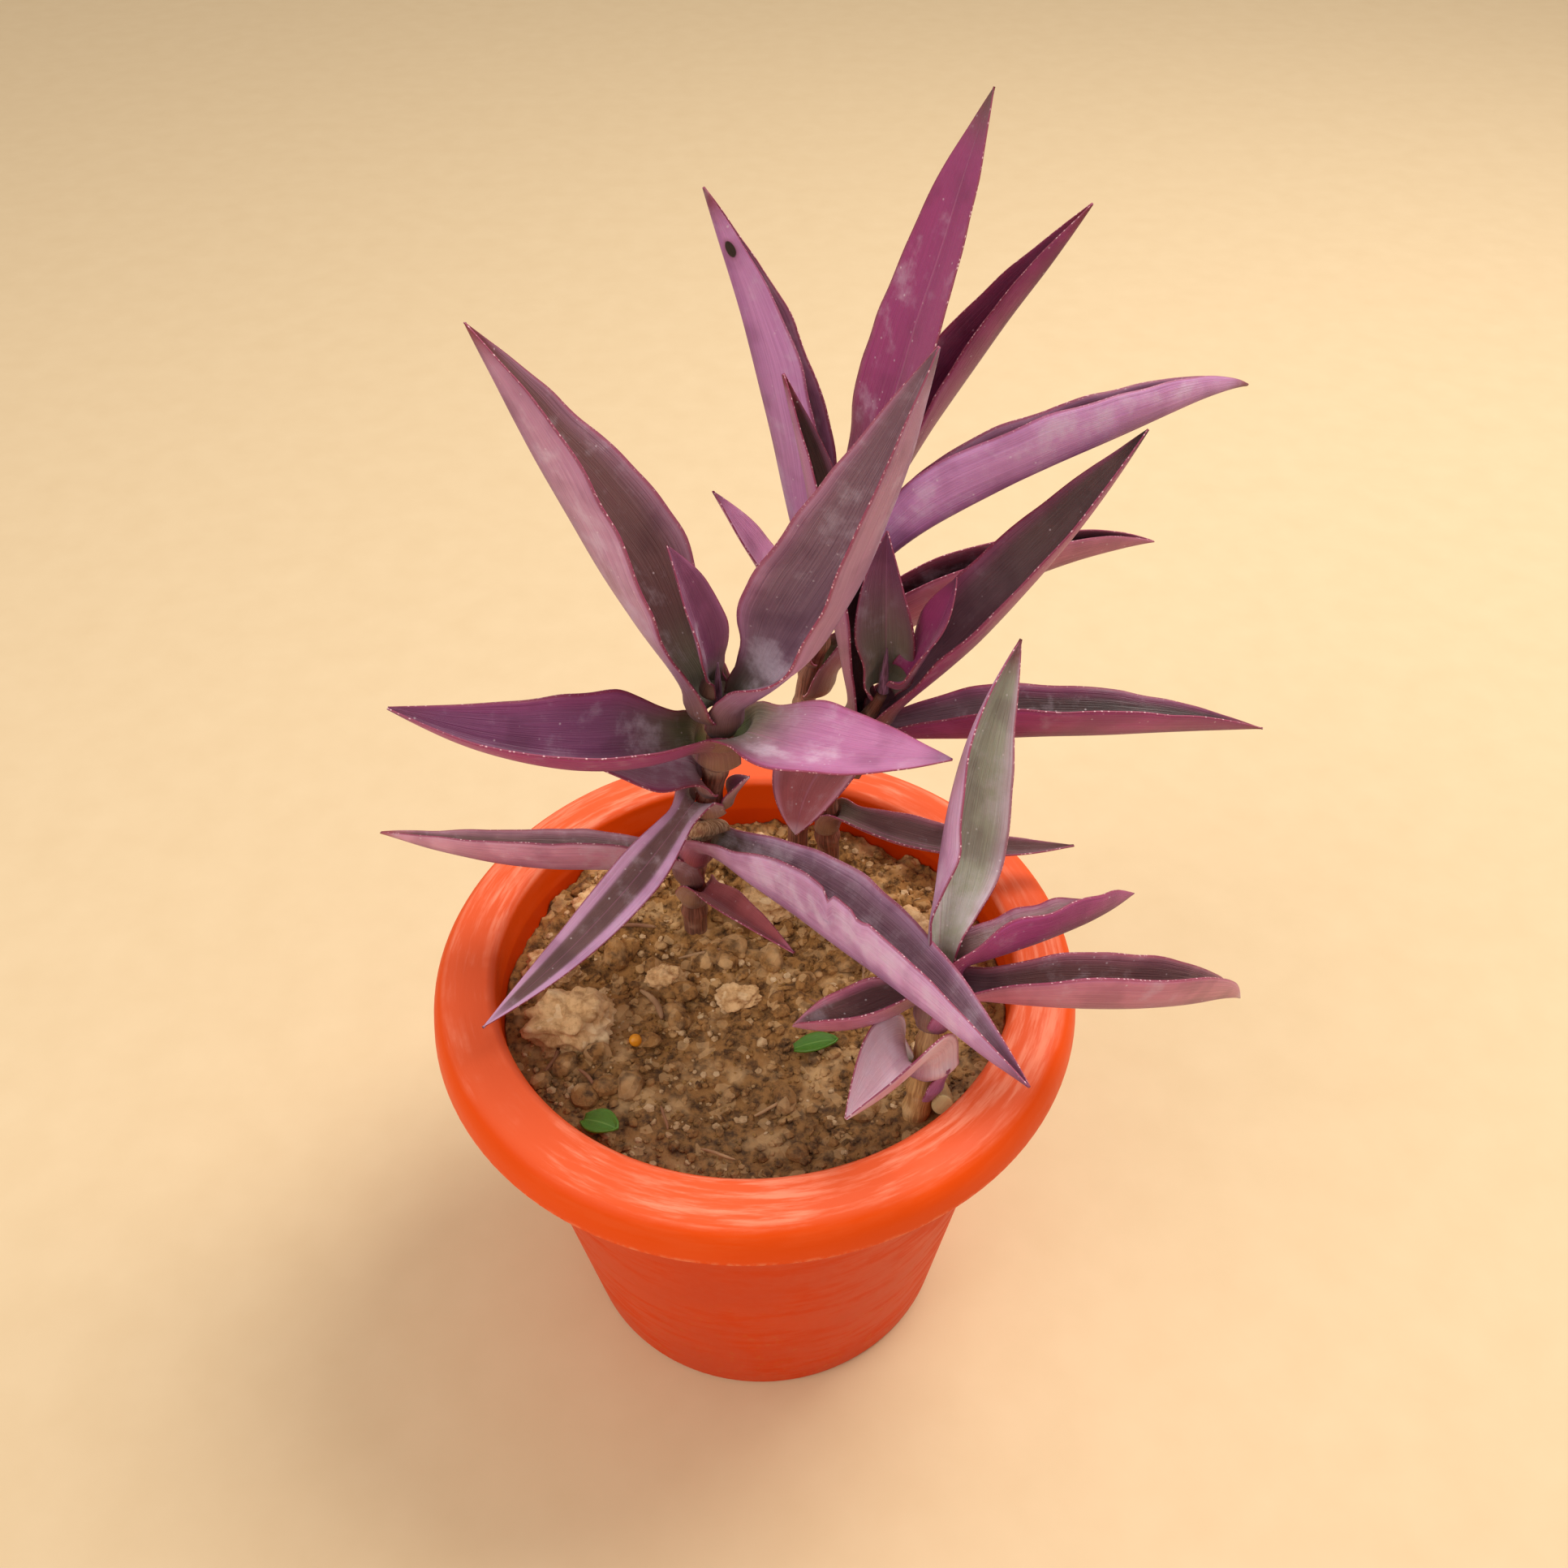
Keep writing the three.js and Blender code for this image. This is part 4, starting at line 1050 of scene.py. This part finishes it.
# ---- Growing tips ----
# At the top of each shoot the youngest leaf is still rolled into a small pointed spindle.
# It is plum and streaked along its length, and one edge of it winds up round the roll.
TIPS = [("a", -6, 9, 180.5, 193, 1.3), ("b", 30, 25, 172, 184, 1.3),
        ("c", 19, 42, 191, 205, 1.2), ("s", 38.8, -32.4, 133, 147, 1.4)]
TIP_LEAN = 0.5
TIP_WIND = 2.4

rolled = Skin("rolled_leaf", Roughness=0.45, Subsurface_Weight=0.06, Sheen_Weight=0.3,
              Sheen_Tint=tone(226, 214, 240))
rolled_streak = rolled.cloud(rolled.stretch(rolled.coords("UV"), (3, 26, 1)), 1.0, 4.0)
colour = rolled.blend(rolled.step(rolled_streak, 0.36, 0.64), tone(88, 46, 72),
                      tone(166, 110, 146))
rolled_material = rolled.paint(Base_Color=colour,
                               Normal=rolled.bump(rolled_streak, 0.5, 0.0005))
for name, x, y, low, high, thick in TIPS:
    def tip_middle(share):
        return Vector((x + TIP_LEAN * share, y, low + (high - low) * share))

    def tip_radius(share, turn):
        wound = (turn / (2 * math.pi) + 0.5 + share * TIP_WIND) % 1
        return thick * (1.05 - share) ** 0.7 * (0.84 + 0.2 * wound)

    bm = bmesh.new()
    round_rod(bm, tip_middle, lambda share: Vector((0.04, 0, 1)).normalized(), tip_radius,
              40, 32)
    finish_piece("rolled_tip_" + name, bm, [rolled_material], "leaf_purple",
                 "growing_tip_" + name)

# ---- Cut side stem ----
# A side stem of the cutting was cut off short: a stub that leans out at the soil, with
# a pale cut face.
STUB_FOOT = soil_height(41, -34) + 2.75
STUB_RADIUS = 2.2
stub_path = Path([(41, -32.5, STUB_FOOT), (41.5, -36, STUB_FOOT + 1.2),
                  (41.3, -39.5, STUB_FOOT + 2.8)])
stub = Skin("cut_stem", Roughness=0.5, Subsurface_Weight=0.1)
stub_uv = stub.coords("UV")
stub_along = stub.part(stub_uv, 0)
stub_streak = stub.cloud(stub.stretch(stub_uv, (2, 22, 1)), 1.0, 4.0)
cut_face = stub.step(stub_along, 0.93, 0.97) + (1 - stub.step(stub_along, 0.0, 0.01))
colour = stub.blend(stub_streak, tone(120, 96, 62), tone(190, 156, 108))
colour = stub.blend(cut_face, colour, tone(214, 186, 132))
stub_material = stub.paint(Base_Color=colour, Normal=stub.bump(stub_streak, 0.5, 0.0006))
bm = bmesh.new()
round_rod(bm, stub_path.at, stub_path.along,
          lambda share, turn: ((STUB_RADIUS + 0.3 * share)
                               * (1 - 0.16 * ease((share - 0.93) / 0.07))),
          30, 24)
finish_piece("cut_side_stem", bm, [stub_material], "stem_tan", "cutting_stub")

# ---- Floor and light ----
# A broad plain floor in a pale warm tone, a pale sky all round, and one large soft lamp
# high at the right with a weaker one at the left.
FLOOR_REACH = 4
bm = bmesh.new()
bmesh.ops.create_grid(bm, x_segments=1, y_segments=1, size=FLOOR_REACH)
floor_mesh = bpy.data.meshes.new("floor")
bm.to_mesh(floor_mesh)
bm.free()
floor = bpy.data.objects.new("floor", floor_mesh)
scene.collection.objects.link(floor)
floor_skin = Skin("plain_floor", Roughness=0.9)
floor_grain = floor_skin.cloud(floor_skin.coords(), 60.0, 4.0)
floor_mesh.materials.append(floor_skin.paint(Base_Color=floor_skin.blend(
    floor_grain, tone(218, 192, 152), tone(226, 202, 164))))

SKY_STRENGTH = 0.62
world = bpy.data.worlds.new("sky")
world.use_nodes = True
sky = world.node_tree.nodes["Background"]
sky.inputs["Color"].default_value = tone(255, 246, 234)
sky.inputs["Strength"].default_value = SKY_STRENGTH
scene.world = world
# Each lamp has its place in metres, its width in metres, its power and its colour
LAMPS = [("key", (0.55, 0.35, 1.1), 0.7, 12, (1.0, 0.95, 0.88)),
         ("fill", (-0.8, -0.6, 0.8), 0.8, 5, (1.0, 0.97, 0.94))]
for name, place, wide, power, colour in LAMPS:
    lamp = bpy.data.lights.new(name, "AREA")
    lamp.shape = "DISK"
    lamp.size = wide
    lamp.energy = power
    lamp.color = colour
    lamp_object = bpy.data.objects.new(name, lamp)
    aim = Vector((0, 0, 0.1)) - Vector(place)
    lamp_object.matrix_world = (Matrix.Translation(place)
                                @ aim.to_track_quat("-Z", "Y").to_matrix().to_4x4())
    scene.collection.objects.link(lamp_object)
